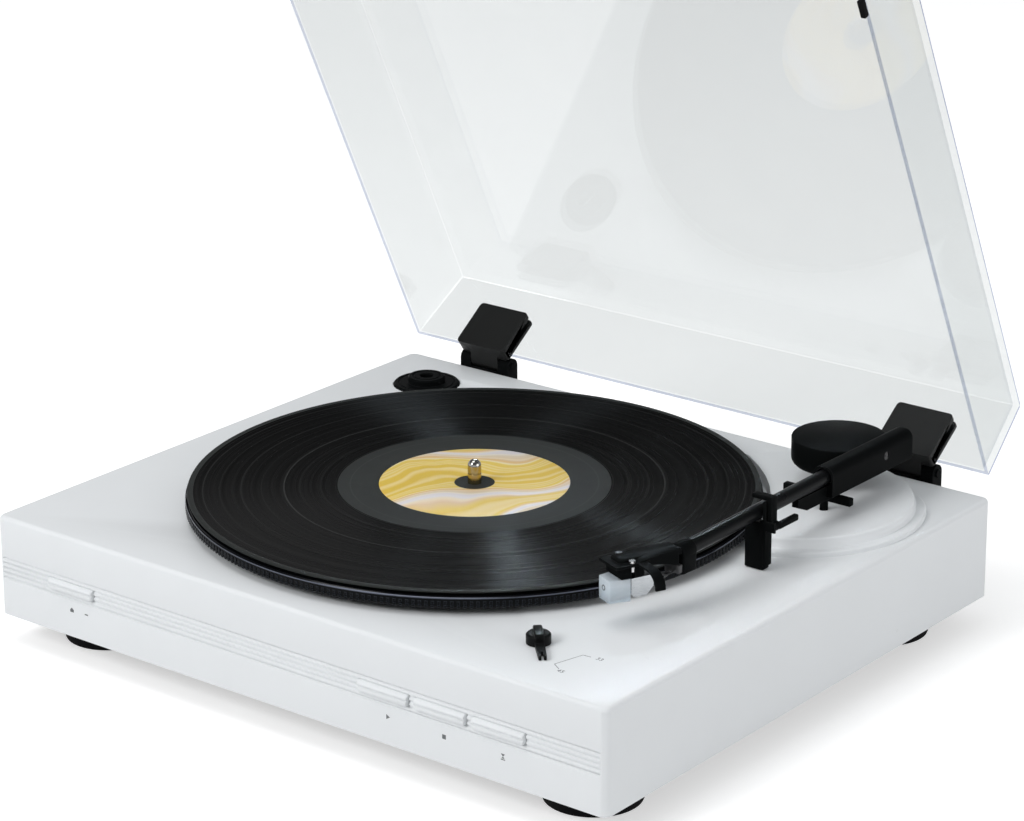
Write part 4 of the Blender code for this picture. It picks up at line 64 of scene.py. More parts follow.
class Bench:
    """The node tree of one finish, with short ways to add its nodes and join them."""

    def __init__(self, name, **constants):
        self.look = bpy.data.materials.new(name)
        self.look.use_nodes = True
        self.tree = self.look.node_tree
        self.shader = self.tree.nodes["Principled BSDF"]
        for socket, value in constants.items():
            self.shader.inputs[socket.replace("_", " ")].default_value = value
        self.place = self.add("ShaderNodeTexCoord").outputs["Object"]

    def add(self, kind, inputs=None, **settings):
        node = self.tree.nodes.new(kind)
        for key, value in settings.items():
            setattr(node, key, value)
        for key, value in (inputs or {}).items():
            if isinstance(value, bpy.types.NodeSocket):
                self.tree.links.new(value, node.inputs[key])
            else:
                node.inputs[key].default_value = value
        return node

    def sum(self, operation, a, b=0.0, clamp=False):
        return self.add("ShaderNodeMath", {0: a, 1: b}, operation=operation, use_clamp=clamp).outputs[0]

    def moved(self, centre, scale=(1, 1, 1), turn=0.0):
        """Object coordinates counted from a centre, then turned about Z and stretched."""
        inputs = {"Vector": self.place, "Location": centre, "Rotation": (0, 0, turn), "Scale": scale}
        return self.add("ShaderNodeMapping", inputs, vector_type="TEXTURE").outputs[0]

    def noise(self, scale, detail=3.0, place=None, roughness=0.55):
        inputs = {"Vector": place or self.place, "Scale": scale, "Detail": detail, "Roughness": roughness}
        return self.add("ShaderNodeTexNoise", inputs).outputs["Fac"]

    def span(self, value, low, high, out_low, out_high):
        inputs = {"Value": value, "From Min": low, "From Max": high, "To Min": out_low, "To Max": out_high}
        return self.add("ShaderNodeMapRange", inputs).outputs[0]

    def ramp(self, value, stops):
        node = self.add("ShaderNodeValToRGB", {"Fac": value})
        elements = node.color_ramp.elements
        while len(elements) > 1:
            elements.remove(elements[-1])
        for i, (position, colour) in enumerate(stops):
            element = elements[0] if i == 0 else elements.new(position)
            element.position = position
            element.color = colour if len(colour) == 4 else (*colour, 1.0)
        return node.outputs["Color"]

    def mix(self, factor, a, b, blend="MIX"):
        node = self.add("ShaderNodeMix", data_type="RGBA", blend_type=blend)
        for socket, value in (("Factor_Float", factor), ("A_Color", a), ("B_Color", b)):
            target = next(s for s in node.inputs if s.identifier == socket)
            if isinstance(value, bpy.types.NodeSocket):
                self.tree.links.new(value, target)
            else:
                target.default_value = value if socket == "Factor_Float" else (*value[:3], 1.0)
        return next(s for s in node.outputs if s.identifier == "Result_Color")

    def edge_highlight_share(self, radius):
        """0 on a flat face, rising to about 1 along a sharp edge; the mask of the painted edge highlights."""
        rounded = self.add("ShaderNodeBevel", {"Radius": radius}, samples=6).outputs[0]
        flat = self.add("ShaderNodeNewGeometry").outputs["Normal"]
        both = {0: rounded, 1: flat}
        agreement = self.add("ShaderNodeVectorMath", both, operation="DOT_PRODUCT").outputs["Value"]
        return self.span(agreement, 0.98, 0.75, 0.0, 1.0)

    def bump(self, height, distance, strength=1.0):
        inputs = {"Height": height, "Distance": distance, "Strength": strength}
        return self.add("ShaderNodeBump", inputs).outputs[0]

    def join(self, **sockets):
        for name, value in sockets.items():
            self.tree.links.new(value, self.shader.inputs[name.replace("_", " ")])
        return self.look


def moulded_plastic(name, colour, edge_highlight_colour, roughness, grain, level=0.5, spread=0.05):
    """Spark-eroded moulding: a very fine grain and cloudy gloss; with an edge colour, a painted highlight
    lightens the edges, which are also a little glossier.
    """
    bench = Bench(name, Specular_IOR_Level=level)
    cloud = bench.noise(22.0, 4.0)
    fine = bench.noise(2600.0, 2.0)
    tone = bench.mix(bench.span(cloud, 0.3, 0.7, 0.0, 1.0), colour, [c * (1 - spread) for c in colour])
    gloss = bench.span(cloud, 0.25, 0.75, roughness - 0.05, roughness + 0.05)
    if edge_highlight_colour:
        # Painted highlight: the edges are lightened towards the edge highlight colour.
        edge = bench.edge_highlight_share(0.0007)
        tone = bench.mix(edge, tone, edge_highlight_colour)
        gloss = bench.sum("SUBTRACT", gloss, bench.sum("MULTIPLY", edge, 0.1))
    return bench.join(Base_Color=tone, Roughness=gloss, Normal=bench.bump(fine, grain))


def turned_metal(name, colour, roughness, brush=0.00001):
    """Turned or rolled metal with fine marks and a little staining."""
    bench = Bench(name, Metallic=1.0)
    marks = bench.noise(900.0, 5.0, place=bench.moved((0, 0, 0), (6.0, 6.0, 0.4)))
    stain = bench.noise(160.0, 3.0)
    tone = bench.mix(bench.span(stain, 0.35, 0.75, 0.0, 0.5), colour, [c * 0.72 for c in colour])
    gloss = bench.span(marks, 0.2, 0.8, roughness - 0.07, roughness + 0.1)
    return bench.join(Base_Color=tone, Roughness=gloss, Normal=bench.bump(marks, brush))


def foot_rubber():
    bench = Bench("foot_rubber", Specular_IOR_Level=0.04)
    dust = bench.noise(90.0, 6.0)
    pores = bench.noise(1500.0, 4.0)
    tone = bench.mix(bench.span(dust, 0.5, 0.8, 0.0, 1.0), (0.006, 0.006, 0.0065), (0.016, 0.016, 0.0155))
    gloss = bench.span(dust, 0.3, 0.7, 0.62, 0.82)
    return bench.join(Base_Color=tone, Roughness=gloss, Normal=bench.bump(pores, 0.00006))


def ring_distance(bench, centre):
    """The distance from the record's axis, in metres."""
    flat = bench.moved(centre)
    flat = bench.add("ShaderNodeVectorMath", {0: flat, 1: (1, 1, 0)}, operation="MULTIPLY").outputs[0]
    return flat, bench.add("ShaderNodeVectorMath", {0: flat}, operation="LENGTH").outputs["Value"]


def grooved_vinyl(centre, radius):
    """Cut grooves: rings of changing density, gaps between tracks drawn as lighter rings, a painted sheen, and
    gloss stretched across them.
    """
    bench = Bench("grooved_vinyl", Specular_IOR_Level=0.020, Anisotropic=1.0)
    flat, distance = ring_distance(bench, centre)
    share = bench.sum("DIVIDE", distance, radius)

    def rings(scale, detail):
        inputs = {"W": bench.sum("MULTIPLY", distance, scale), "Scale": 1.0, "Detail": detail}
        return bench.add("ShaderNodeTexNoise", inputs, noise_dimensions="1D").outputs["Fac"]

    grooves = rings(1500.0, 1.0)
    density = rings(420.0, 5.0)
    # Painted sheen: the gaps between tracks are lighter rings, each with its own strength.
    stops = [(0.0, (0, 0, 0))]
    for gap, strength in (
        (0.535, 0.15), (0.610, 0.10), (0.663, 1.0), (0.742, 0.12), (0.812, 0.22), (0.886, 0.18), (0.945, 0.3),
    ):
        stops += [(gap - 0.0025, (0, 0, 0)), (gap, (strength,) * 3), (gap + 0.0025, (0, 0, 0))]
    gap_sheen = bench.ramp(share, stops)
    share_of_dark = bench.span(density, 0.3, 0.7, 0.0, 1.0)
    tone = bench.mix(share_of_dark, (0.0016, 0.0017, 0.0018), (0.0045, 0.0047, 0.0048))
    tone = bench.mix(gap_sheen, tone, (0.060, 0.062, 0.061))
    gloss = bench.span(density, 0.25, 0.75, 0.20, 0.31)
    spaces = {"vector_type": "VECTOR", "convert_from": "OBJECT", "convert_to": "WORLD"}
    turned = bench.add("ShaderNodeVectorTransform", {0: flat}, **spaces)
    bump = bench.bump(grooves, 0.000004, 0.3)
    return bench.join(Base_Color=tone, Roughness=gloss, Tangent=turned.outputs[0], Normal=bump)


def smooth_vinyl(centre):
    """The plain vinyl of the run-out, the rim's bead and the underside, with a painted sheen: lighter than the
    grooved vinyl, and a thin ring lighter still.
    """
    bench = Bench("smooth_vinyl", Specular_IOR_Level=0.03)
    _, distance = ring_distance(bench, centre)
    cloud = bench.noise(60.0, 4.0)
    # Painted sheen: a thin ring about 65.6 mm from the axis, lighter than the rest.
    stops = [(0.0, (0, 0, 0)), (0.432, (0, 0, 0)), (0.4345, (1, 1, 1)), (0.437, (0, 0, 0))]
    sheen_ring = bench.ramp(bench.sum("DIVIDE", distance, 151.0 * MM), stops)
    # Painted sheen: the same vinyl as the grooves, drawn several times lighter where it is smooth.
    tone = bench.mix(cloud, (0.023, 0.025, 0.024), (0.030, 0.032, 0.031))
    tone = bench.mix(sheen_ring, tone, (0.045, 0.047, 0.046))
    gloss = bench.span(cloud, 0.3, 0.7, 0.42, 0.52)
    return bench.join(Base_Color=tone, Roughness=gloss, Normal=bench.bump(bench.noise(1400.0), 0.000006))


def marbled_paper(centre):
    """Printed paper with a poured-paint marbling in yellow, peach and pale lavender."""
    bench = Bench("marbled_paper", Specular_IOR_Level=0.12)
    flow = bench.moved(centre, (1.0, 1.0, 1.0), math.radians(152))
    for scale, reach in ((15.0, 0.085), (34.0, 0.016)):
        inputs = {"Vector": flow, "Scale": scale, "Detail": 0.6, "Roughness": 0.4}
        fold = bench.add("ShaderNodeTexNoise", inputs).outputs["Color"]
        push = bench.add("ShaderNodeVectorMath", {0: fold, 1: (reach, reach, 0.0)}, operation="MULTIPLY")
        flow = bench.add("ShaderNodeVectorMath", {0: flow, 1: push.outputs[0]}, operation="ADD").outputs[0]
    inputs = {"Vector": flow, "Scale": 3.4, "Phase Offset": 2.2}
    pour = bench.add("ShaderNodeTexWave", inputs, wave_profile="SIN").outputs["Fac"]
    stops = [
        (0.00, (0.660, 0.440, 0.030)), (0.20, (0.690, 0.475, 0.040)), (0.24, (0.740, 0.600, 0.240)),
        (0.28, (0.680, 0.465, 0.040)), (0.42, (0.700, 0.510, 0.080)), (0.46, (0.720, 0.600, 0.330)),
        (0.50, (0.670, 0.420, 0.150)), (0.56, (0.650, 0.480, 0.300)), (0.68, (0.660, 0.560, 0.420)),
        (0.72, (0.640, 0.590, 0.620)), (0.82, (0.690, 0.660, 0.680)), (0.87, (0.680, 0.500, 0.350)),
        (0.94, (0.710, 0.520, 0.110)), (1.00, (0.670, 0.450, 0.035)),
    ]
    tone = bench.ramp(pour, stops)
    thread = bench.sum("SINE", bench.sum("MULTIPLY", pour, 46.0))
    tone = bench.mix(bench.span(thread, 0.2, 1.0, 0.04, 0.42), tone, (0.850, 0.760, 0.520))
    fibre = bench.noise(1900.0, 3.0)
    gloss = bench.span(fibre, 0.2, 0.8, 0.42, 0.56)
    return bench.join(Base_Color=tone, Roughness=gloss, Normal=bench.bump(fibre, 0.00001))


def coated_casting():
    """The platter's black coat, hard and fairly glossy, over a slightly uneven casting, with a painted bluish
    highlight along its edges.
    """
    bench = Bench("coated_casting", Specular_IOR_Level=0.09)
    cloud = bench.noise(45.0, 3.0)
    coat = bench.mix(cloud, (0.0018, 0.0021, 0.0028), (0.0035, 0.0038, 0.0046))
    # Painted highlight: the edges of the coat, the ribs' edges too, are lightened to a bluish grey.
    tone = bench.mix(bench.edge_highlight_share(0.0006), coat, (0.030, 0.034, 0.042))
    gloss = bench.span(cloud, 0.3, 0.7, 0.14, 0.24)
    return bench.join(Base_Color=tone, Roughness=gloss, Normal=bench.bump(bench.noise(700.0, 2.0), 0.00001))


def pressed_felt():
    bench = Bench("pressed_felt", Specular_IOR_Level=0.1, Sheen_Weight=0.3, Sheen_Roughness=0.6)
    hairs = bench.noise(2400.0, 8.0, roughness=0.75)
    tone = bench.mix(bench.span(hairs, 0.35, 0.7, 0.0, 1.0), (0.012, 0.012, 0.013), (0.045, 0.045, 0.048))
    gloss = bench.span(hairs, 0.0, 1.0, 0.85, 1.0)
    return bench.join(Base_Color=tone, Roughness=gloss, Normal=bench.bump(hairs, 0.0002))


def clear_acrylic(name, tint, mirror_share):
    """Cast acrylic: a clear sheet, faintly grey, that mirrors more at a slant, with hazy wiping marks."""
    bench = Bench(name, Metallic=1.0)
    smear = bench.noise(26.0, 5.0, place=bench.moved((0, 0, 0), (1.0, 0.35, 1.0), 0.4))
    through = bench.mix(smear, *tint)
    slant = bench.add("ShaderNodeLayerWeight", {"Blend": 0.5}).outputs["Facing"]
    mirror = bench.span(bench.sum("POWER", slant, 5.0), 0.0, 1.0, mirror_share, 0.7)
    clear = bench.add("ShaderNodeBsdfTransparent", {"Color": through}).outputs[0]
    sheet = bench.add("ShaderNodeMixShader", {0: mirror, 1: clear, 2: bench.shader.outputs[0]})
    bench.tree.links.new(sheet.outputs[0], bench.tree.nodes["Material Output"].inputs["Surface"])
    tone = bench.mix(smear, (0.97, 0.98, 0.99), (1.0, 1.0, 1.0))
    return bench.join(Base_Color=tone, Roughness=bench.span(smear, 0.45, 0.8, 0.004, 0.016))


def guard_plastic():
    """A milky clear moulding, thinner and clearer towards its lower edge."""
    bench = Bench("guard_plastic", Specular_IOR_Level=0.6)
    cloud = bench.noise(260.0, 3.0)
    height = bench.add("ShaderNodeSeparateXYZ", {"Vector": bench.place}).outputs["Z"]
    milk = bench.span(height, 0.0845, 0.0925, 0.30, 0.70)
    clear = bench.add("ShaderNodeBsdfTransparent", {"Color": (0.86, 0.93, 0.98, 1.0)}).outputs[0]
    shell = bench.add("ShaderNodeMixShader", {0: milk, 1: clear, 2: bench.shader.outputs[0]})
    bench.tree.links.new(shell.outputs[0], bench.tree.nodes["Material Output"].inputs["Surface"])
    tone = bench.mix(cloud, (0.66, 0.73, 0.78), (0.78, 0.83, 0.87))
    gloss = bench.span(cloud, 0.3, 0.7, 0.14, 0.26)
    return bench.join(Base_Color=tone, Roughness=gloss, Normal=bench.bump(bench.noise(900.0), 0.00002))


def circuit_laminate():
    """Green solder mask over copper tracks, with a sprinkling of pads."""
    bench = Bench("circuit_laminate", Specular_IOR_Level=0.5, Roughness=0.35)
    grid = {"Vector": bench.moved((0, 0, 0)), "Scale": 160.0, "Mortar Size": 0.03}
    tracks = bench.add("ShaderNodeTexBrick", grid).outputs["Fac"]
    cells = {"Vector": bench.place, "Scale": 280.0}
    pads = bench.add("ShaderNodeTexVoronoi", cells, feature="F1").outputs["Distance"]
    tone = bench.mix(tracks, (0.012, 0.10, 0.035), (0.03, 0.20, 0.07))
    tone = bench.mix(bench.span(pads, 0.14, 0.10, 0.0, 1.0), tone, (0.60, 0.58, 0.52))
    return bench.join(Base_Color=tone, Normal=bench.bump(tracks, 0.00004))


def dark_laminate():
    bench = Bench("dark_laminate", Specular_IOR_Level=0.3)
    fibre = bench.noise(1200.0, 6.0, place=bench.moved((0, 0, 0), (1.0, 5.0, 1.0)))
    tone = bench.mix(fibre, (0.020, 0.020, 0.021), (0.040, 0.039, 0.038))
    gloss = bench.span(fibre, 0.2, 0.8, 0.6, 0.8)
    return bench.join(Base_Color=tone, Roughness=gloss, Normal=bench.bump(fibre, 0.00004))


def printed_ink(name, colour):
    bench = Bench(name, Specular_IOR_Level=0.3)
    grain = bench.noise(3000.0, 3.0)
    tone = bench.mix(grain, colour, [min(1.0, c * 1.35) for c in colour])
    return bench.join(Base_Color=tone, Roughness=bench.span(grain, 0.0, 1.0, 0.45, 0.65))


def lead_insulation(name, colour):
    bench = Bench(name, Specular_IOR_Level=0.5)
    cloud = bench.noise(700.0, 3.0)
    tone = bench.mix(cloud, colour, [c * 0.75 for c in colour])
    return bench.join(Base_Color=tone, Roughness=bench.span(cloud, 0.2, 0.8, 0.3, 0.45))


record_low, record_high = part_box("record_disc")
AXIS = (record_low + record_high) / 2
RECORD_RADIUS = (record_high.x - record_low.x) / 2
FINISHES = {
    "white_plastic": moulded_plastic(
        "white_moulding", (0.770, 0.790, 0.805), None, 0.32, 0.000012, 0.05, 0.015,
    ),
    "black_plastic": moulded_plastic(
        "black_moulding", (0.0040, 0.0046, 0.0048), (0.020, 0.021, 0.022), 0.40, 0.000022, 0.012,
    ),
    "dark_board": dark_laminate(),
    "rubber_feet": foot_rubber(),
    "steel": turned_metal("bright_steel", (0.62, 0.62, 0.63), 0.24),
    "spindle_metal": turned_metal("polished_spindle", (0.52, 0.42, 0.20), 0.16),
    "brass": turned_metal("turned_brass", (0.78, 0.60, 0.28), 0.26),
    "platter_metal": coated_casting(),
    "mat": pressed_felt(),
    "gear_plastic": moulded_plastic("gear_moulding", (0.74, 0.72, 0.66), (0.80, 0.79, 0.74), 0.5, 0.00002),
    "vinyl": smooth_vinyl(AXIS),
    "label_paper": marbled_paper(AXIS),
    "tube_metal": moulded_plastic(
        "lacquered_tube", (0.0045, 0.005, 0.0055), (0.022, 0.023, 0.025), 0.28, 0.000003, 0.08,
    ),
    "cartridge_grey": turned_metal("nickel_case", (0.44, 0.46, 0.48), 0.24),
    "terminal_plate": dark_laminate(),
    "guard_clear": guard_plastic(),
    "wire_cover": lead_insulation("lead_boot", (0.03, 0.03, 0.032)),
    "clear_cover": clear_acrylic("clear_acrylic", ((0.864, 0.876, 0.876), (0.876, 0.887, 0.886)), 0.055),
    "circuit": circuit_laminate(),
    "connector": moulded_plastic(
        "connector_moulding", (0.014, 0.014, 0.015), (0.04, 0.04, 0.042), 0.36, 0.00002, 0.4,
    ),
}
GROOVES = grooved_vinyl(AXIS, RECORD_RADIUS)
ACRYLIC_EDGE = clear_acrylic("acrylic_edge", ((0.56, 0.59, 0.70), (0.70, 0.73, 0.82)), 0.08)
ACRYLIC_CORNER = clear_acrylic("acrylic_corner", ((0.30, 0.34, 0.50), (0.42, 0.46, 0.62)), 0.04)
# Painted highlight: a clearer, lighter tint than the cover's own, for the right side walls and the broken
# edges.
ACRYLIC_SIDE_HIGHLIGHT = clear_acrylic("acrylic_side_highlight", ((0.942, 0.950, 0.950), (0.956, 0.963, 0.962)), 0.025)
HINGE_FINISH = moulded_plastic(
    "hinge_moulding", (0.0125, 0.0128, 0.0125), (0.034, 0.035, 0.035), 0.36, 0.000022, 0.16,
)
KNOB_FINISH = moulded_plastic(
    "knob_moulding", (0.0062, 0.0068, 0.0070), (0.030, 0.031, 0.032), 0.34, 0.00002, 0.06,
)
PIN_HEAD = moulded_plastic("pin_head", (0.004, 0.004, 0.004), (0.05, 0.05, 0.052), 0.3, 0.00001, 0.3)
GREY_INK = printed_ink("grey_ink", (0.115, 0.120, 0.125))
CHROME = turned_metal("chromed_tip", (0.50, 0.49, 0.47), 0.12)
LIP_FINISH = turned_metal("polished_lip", (0.11, 0.12, 0.15), 0.14)
DARK_SCREW = turned_metal("blackened_screw", (0.10, 0.10, 0.11), 0.3)


# Pieces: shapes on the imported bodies


def set_piece(name, shape, like, replaced=(), finishes=None, sharp=32):
    """Makes a bmesh a piece with a CAD node's finish and body, in place of the nodes it replaces."""
    mesh = bpy.data.meshes.new(name)
    shape.to_mesh(mesh)
    shape.free()
    mesh.shade_smooth()
    mesh.set_sharp_from_angle(angle=math.radians(sharp))
    for finish in finishes or [FINISHES[SLOT_OF[like]]]:
        mesh.materials.append(finish)
    piece = bpy.data.objects.new(name, mesh)
    bpy.context.scene.collection.objects.link(piece)
    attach(piece, BODY_OF[like])
    if replaced:
        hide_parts(*replaced)
        DRESSED.update(replaced)
    return piece


def merged_copy(node):
    """A CAD node's solid as one bmesh with welded corners and flat faces joined."""
    shape = bmesh.new()
    shape.from_mesh(frame["nodes"][node].data)
    bmesh.ops.remove_doubles(shape, verts=shape.verts, dist=0.000002)
    bmesh.ops.dissolve_limit(shape, angle_limit=math.radians(0.6), verts=shape.verts, edges=shape.edges)
    return shape


def soften(node, width, shape=None, finishes=None, angle=35):
    """The solid of a node with its edges broken by a small radius."""
    piece = set_piece(node + "_moulded", shape or merged_copy(node), node, (node,), finishes, sharp=angle)
    if width:
        edge = piece.modifiers.new("broken_edges", "BEVEL")
        edge.width, edge.segments, edge.limit_method = width, 2, "ANGLE"
        edge.angle_limit = math.radians(angle)
        edge.harden_normals = True
    return piece


def prism(shape, outline, reach):
    """Adds a closed solid: a flat outline drawn out along a vector."""
    face = shape.faces.new([shape.verts.new(corner) for corner in outline])
    grown = bmesh.ops.extrude_face_region(shape, geom=[face])["geom"]
    moved = [part for part in grown if isinstance(part, bmesh.types.BMVert)]
    bmesh.ops.translate(shape, verts=moved, vec=reach)


def break_edges(shape, edges, offset, segments=2):
    bmesh.ops.bevel(
        shape, geom=edges, offset=offset, segments=segments, profile=0.5, affect="EDGES", material=-1,
    )


def spun(profile, centre, steps=160):
    """A closed solid of revolution from points of radius and height, those on the axis included."""
    shape = bmesh.new()
    corners = [shape.verts.new((centre.x + radius, centre.y, height)) for radius, height in profile]
    for a, b in zip(corners, corners[1:]):
        shape.edges.new((a, b))
    bmesh.ops.spin(
        shape, geom=shape.verts[:] + shape.edges[:], cent=centre, axis=(0, 0, 1), angle=2 * math.pi,
        steps=steps, use_merge=True,
    )
    bmesh.ops.remove_doubles(shape, verts=shape.verts, dist=0.000001)
    bmesh.ops.recalc_face_normals(shape, faces=shape.faces)
    return shape


def make_record():
    """The pressed disc: a smooth bead at the rim, the groove band, the run-out and the step to the label."""
    top, bottom = record_high.z, record_low.z
    band = top - 0.3 * MM
    profile = [
        (3.75 * MM, bottom), (RECORD_RADIUS - 0.9 * MM, bottom),
        (RECORD_RADIUS - 0.25 * MM, bottom + 0.2 * MM), (RECORD_RADIUS, bottom + 0.65 * MM),
        (RECORD_RADIUS - 0.2 * MM, top - 0.2 * MM), (RECORD_RADIUS - 0.8 * MM, top - 0.02 * MM),
        (RECORD_RADIUS - 1.4 * MM, top), (RECORD_RADIUS - 2.3 * MM, top - 0.1 * MM),
        (RECORD_RADIUS - 3.2 * MM, band),
        (72.2 * MM, band), (71.8 * MM, band - 0.06 * MM), (51.6 * MM, band - 0.06 * MM), (51.2 * MM, band),
        (50.7 * MM, band), (50.5 * MM, band - 0.30 * MM), (3.75 * MM, band - 0.30 * MM), (3.75 * MM, bottom),
    ]
    shape = spun(profile, AXIS, 240)
    for face in shape.faces:
        centre = face.calc_center_median()
        reach = math.hypot(centre.x - AXIS.x, centre.y - AXIS.y)
        cut = face.normal.z > 0.9 and 72.3 * MM < reach < RECORD_RADIUS - 3.2 * MM
        face.material_index = 1 if cut else 0
    set_piece("record_pressing", shape, "record_disc", ("record_disc",), [FINISHES["vinyl"], GROOVES])


def make_label():
    low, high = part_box("record_label")
    profile = [
        (10.7 * MM, low.z), (50.2 * MM, low.z), (50.4 * MM, high.z - 0.1 * MM), (50.1 * MM, high.z),
        (11.0 * MM, high.z), (10.7 * MM, high.z - 0.1 * MM), (10.7 * MM, low.z),
    ]
    set_piece("label_print", spun(profile, AXIS, 160), "record_label", ("record_label",))


def make_spindle():
    """The pressed-in pin: a warm polished shaft with a chromed dome."""
    low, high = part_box("spindle")
    radius = (high.x - low.x) / 2
    turns = [math.radians(9 * i) for i in range(11)]
    dome = [(radius * math.cos(a), high.z - radius + radius * math.sin(a)) for a in turns]
    neck = high.z - radius
    profile = [
        (0, low.z), (radius - 0.3 * MM, low.z), (radius, low.z + 0.3 * MM), (radius, neck - 4.3 * MM),
        (radius - 0.25 * MM, neck - 4.05 * MM), (radius - 0.25 * MM, neck - 3.7 * MM),
        (radius, neck - 3.45 * MM),
    ]
    profile += dome[:-1] + [(0, high.z)]
    shape = spun(profile, AXIS, 64)
    for face in shape.faces:
        face.material_index = 1 if face.calc_center_median().z > neck - 0.2 * MM else 0
    set_piece("spindle_pin", shape, "spindle", ("spindle",), [FINISHES["spindle_metal"], CHROME])


def make_platter_ribs():
    """Two rows of small ribs round the platter's rim, as on a cast rim."""
    low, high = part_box("platter")
    radius = (high.x - low.x) / 2
    shape = bmesh.new()
    rows = ((high.z - 2.9 * MM, 1.7 * MM), (high.z - 4.9 * MM, 1.5 * MM))
    count, sunk, depth, width = 300, 0.12 * MM, 0.24 * MM, 1.7 * MM
    for height, length in rows:
        for i in range(count):
            turn = Matrix.Translation((AXIS.x, AXIS.y, 0)) @ Matrix.Rotation(2 * math.pi * i / count, 4, "Z")
            place = turn @ Matrix.Translation((radius - sunk, 0, height))
            size = Matrix.Diagonal((depth, width, length, 1))
            rib = bmesh.ops.create_cube(shape, size=1.0, matrix=place @ size)
            outer = [v for v in rib["verts"] if (v.co - AXIS).to_2d().length > radius - 0.1 * MM]
            middle = sum((v.co for v in outer), Vector()) / len(outer)
            bmesh.ops.scale(shape, verts=outer, vec=(0.8, 0.8, 0.8), space=Matrix.Translation(-middle))
    set_piece("platter_ribs", shape, "platter")


def make_platter_lip():
    """The polished lip along the top of the platter's rim."""
    low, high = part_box("platter")
    radius = (high.x - low.x) / 2 - 0.30 * MM
    turns = [math.radians(45 * i - 90) for i in range(9)]
    lip = [(radius + 0.30 * MM * math.cos(a), high.z - 0.62 * MM + 0.45 * MM * math.sin(a)) for a in turns]
    set_piece("platter_lip", spun(lip, AXIS, 240), "platter", finishes=[LIP_FINISH])


def make_platter():
    """The rim as CAD gives it, drawn in a little under the ribs, with the ribs and the lip added."""
    shape = merged_copy("platter")
    low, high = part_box("platter")
    radius = (high.x - low.x) / 2
    for vertex in shape.verts:
        offset = Vector((vertex.co.x - AXIS.x, vertex.co.y - AXIS.y, 0))
        if offset.length > radius - 0.05 * MM and vertex.co.z < high.z - 1.0 * MM:
            vertex.co -= offset.normalized() * 0.3 * MM
    soften("platter", 0.0, shape=shape, angle=40)
    make_platter_ribs()
    make_platter_lip()


def make_foot(node):
    """A dished rubber foot with a rounded shoulder and a tread ring on its sole."""
    low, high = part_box(node)
    centre = (low + high) / 2
    radius = (high.x - low.x) / 2
    profile = [
        (0, low.z + 8.9 * MM), (7.6 * MM, low.z + 8.9 * MM), (8.0 * MM, low.z + 8.5 * MM),
        (8.0 * MM, low.z + 0.5 * MM), (8.5 * MM, low.z),
        (17.0 * MM, low.z), (17.4 * MM, low.z + 0.5 * MM), (18.6 * MM, low.z + 0.5 * MM), (19.0 * MM, low.z),
        (radius - 1.8 * MM, low.z), (radius - 0.5 * MM, low.z + 0.5 * MM), (radius, low.z + 1.8 * MM),
        (radius, high.z - 7.2 * MM), (radius - 0.3 * MM, high.z - 6.9 * MM),
        (radius - 0.3 * MM, high.z - 6.4 * MM), (radius, high.z - 6.1 * MM),
        (radius, high.z - 4.6 * MM), (radius - 0.6 * MM, high.z - 3.6 * MM),
        (radius - 1.6 * MM, high.z - 3.02 * MM),
        (5.0 * MM, high.z - 3.02 * MM), (5.0 * MM, high.z), (0, high.z),
    ]
    set_piece(node + "_rubber", spun(profile, centre, 96), node, (node,))


def make_adapter():
    """The spare adapter: a flange, a ringed boss and the hole that fits the spindle."""
    low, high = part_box("adapter_45")
    centre = (low + high) / 2
    radius = (high.x - low.x) / 2
    flange = low.z + 4.0 * MM
    profile = [
        (3.9 * MM, low.z), (radius - 0.5 * MM, low.z), (radius, low.z + 0.5 * MM),
        (radius, flange - 0.6 * MM), (radius - 0.6 * MM, flange),
        (17.0 * MM, flange), (16.7 * MM, flange - 0.5 * MM), (15.7 * MM, flange - 0.5 * MM),
        (15.4 * MM, flange),
        (10.9 * MM, flange), (10.75 * MM, flange + 0.3 * MM), (10.75 * MM, high.z - 0.7 * MM),
        (10.1 * MM, high.z),
        (8.7 * MM, high.z), (8.4 * MM, high.z - 0.5 * MM), (7.3 * MM, high.z - 0.5 * MM), (7.0 * MM, high.z),
        (4.4 * MM, high.z), (3.9 * MM, high.z - 0.5 * MM), (3.9 * MM, low.z),
    ]
    set_piece("adapter_moulding", spun(profile, centre, 128), "adapter_45", ("adapter_45",))


def flat_print(name, outlines, like, thickness, place):
    """Ink on a face: thin plates from outlines in X and Y, moved by a matrix."""
    shape = bmesh.new()
    for points in outlines:
        prism(shape, [(x * MM, y * MM, 0) for x, y in points], (0, 0, thickness))
    bmesh.ops.recalc_face_normals(shape, faces=shape.faces)
    bmesh.ops.transform(shape, matrix=place, verts=shape.verts)
    set_piece(name, shape, like, finishes=[GREY_INK])


def stroke(a, b, width):
    """The four corners of a line of some width between two points."""
    a, b = Vector(a), Vector(b)
    across = Vector((a.y - b.y, b.x - a.x)).normalized() * width / 2
    return [tuple(a - across), tuple(b - across), tuple(b + across), tuple(a + across)]


def block(left, low, right, high):
    """The four corners of an upright rectangle."""
    return [(left, low), (right, low), (right, high), (left, high)]


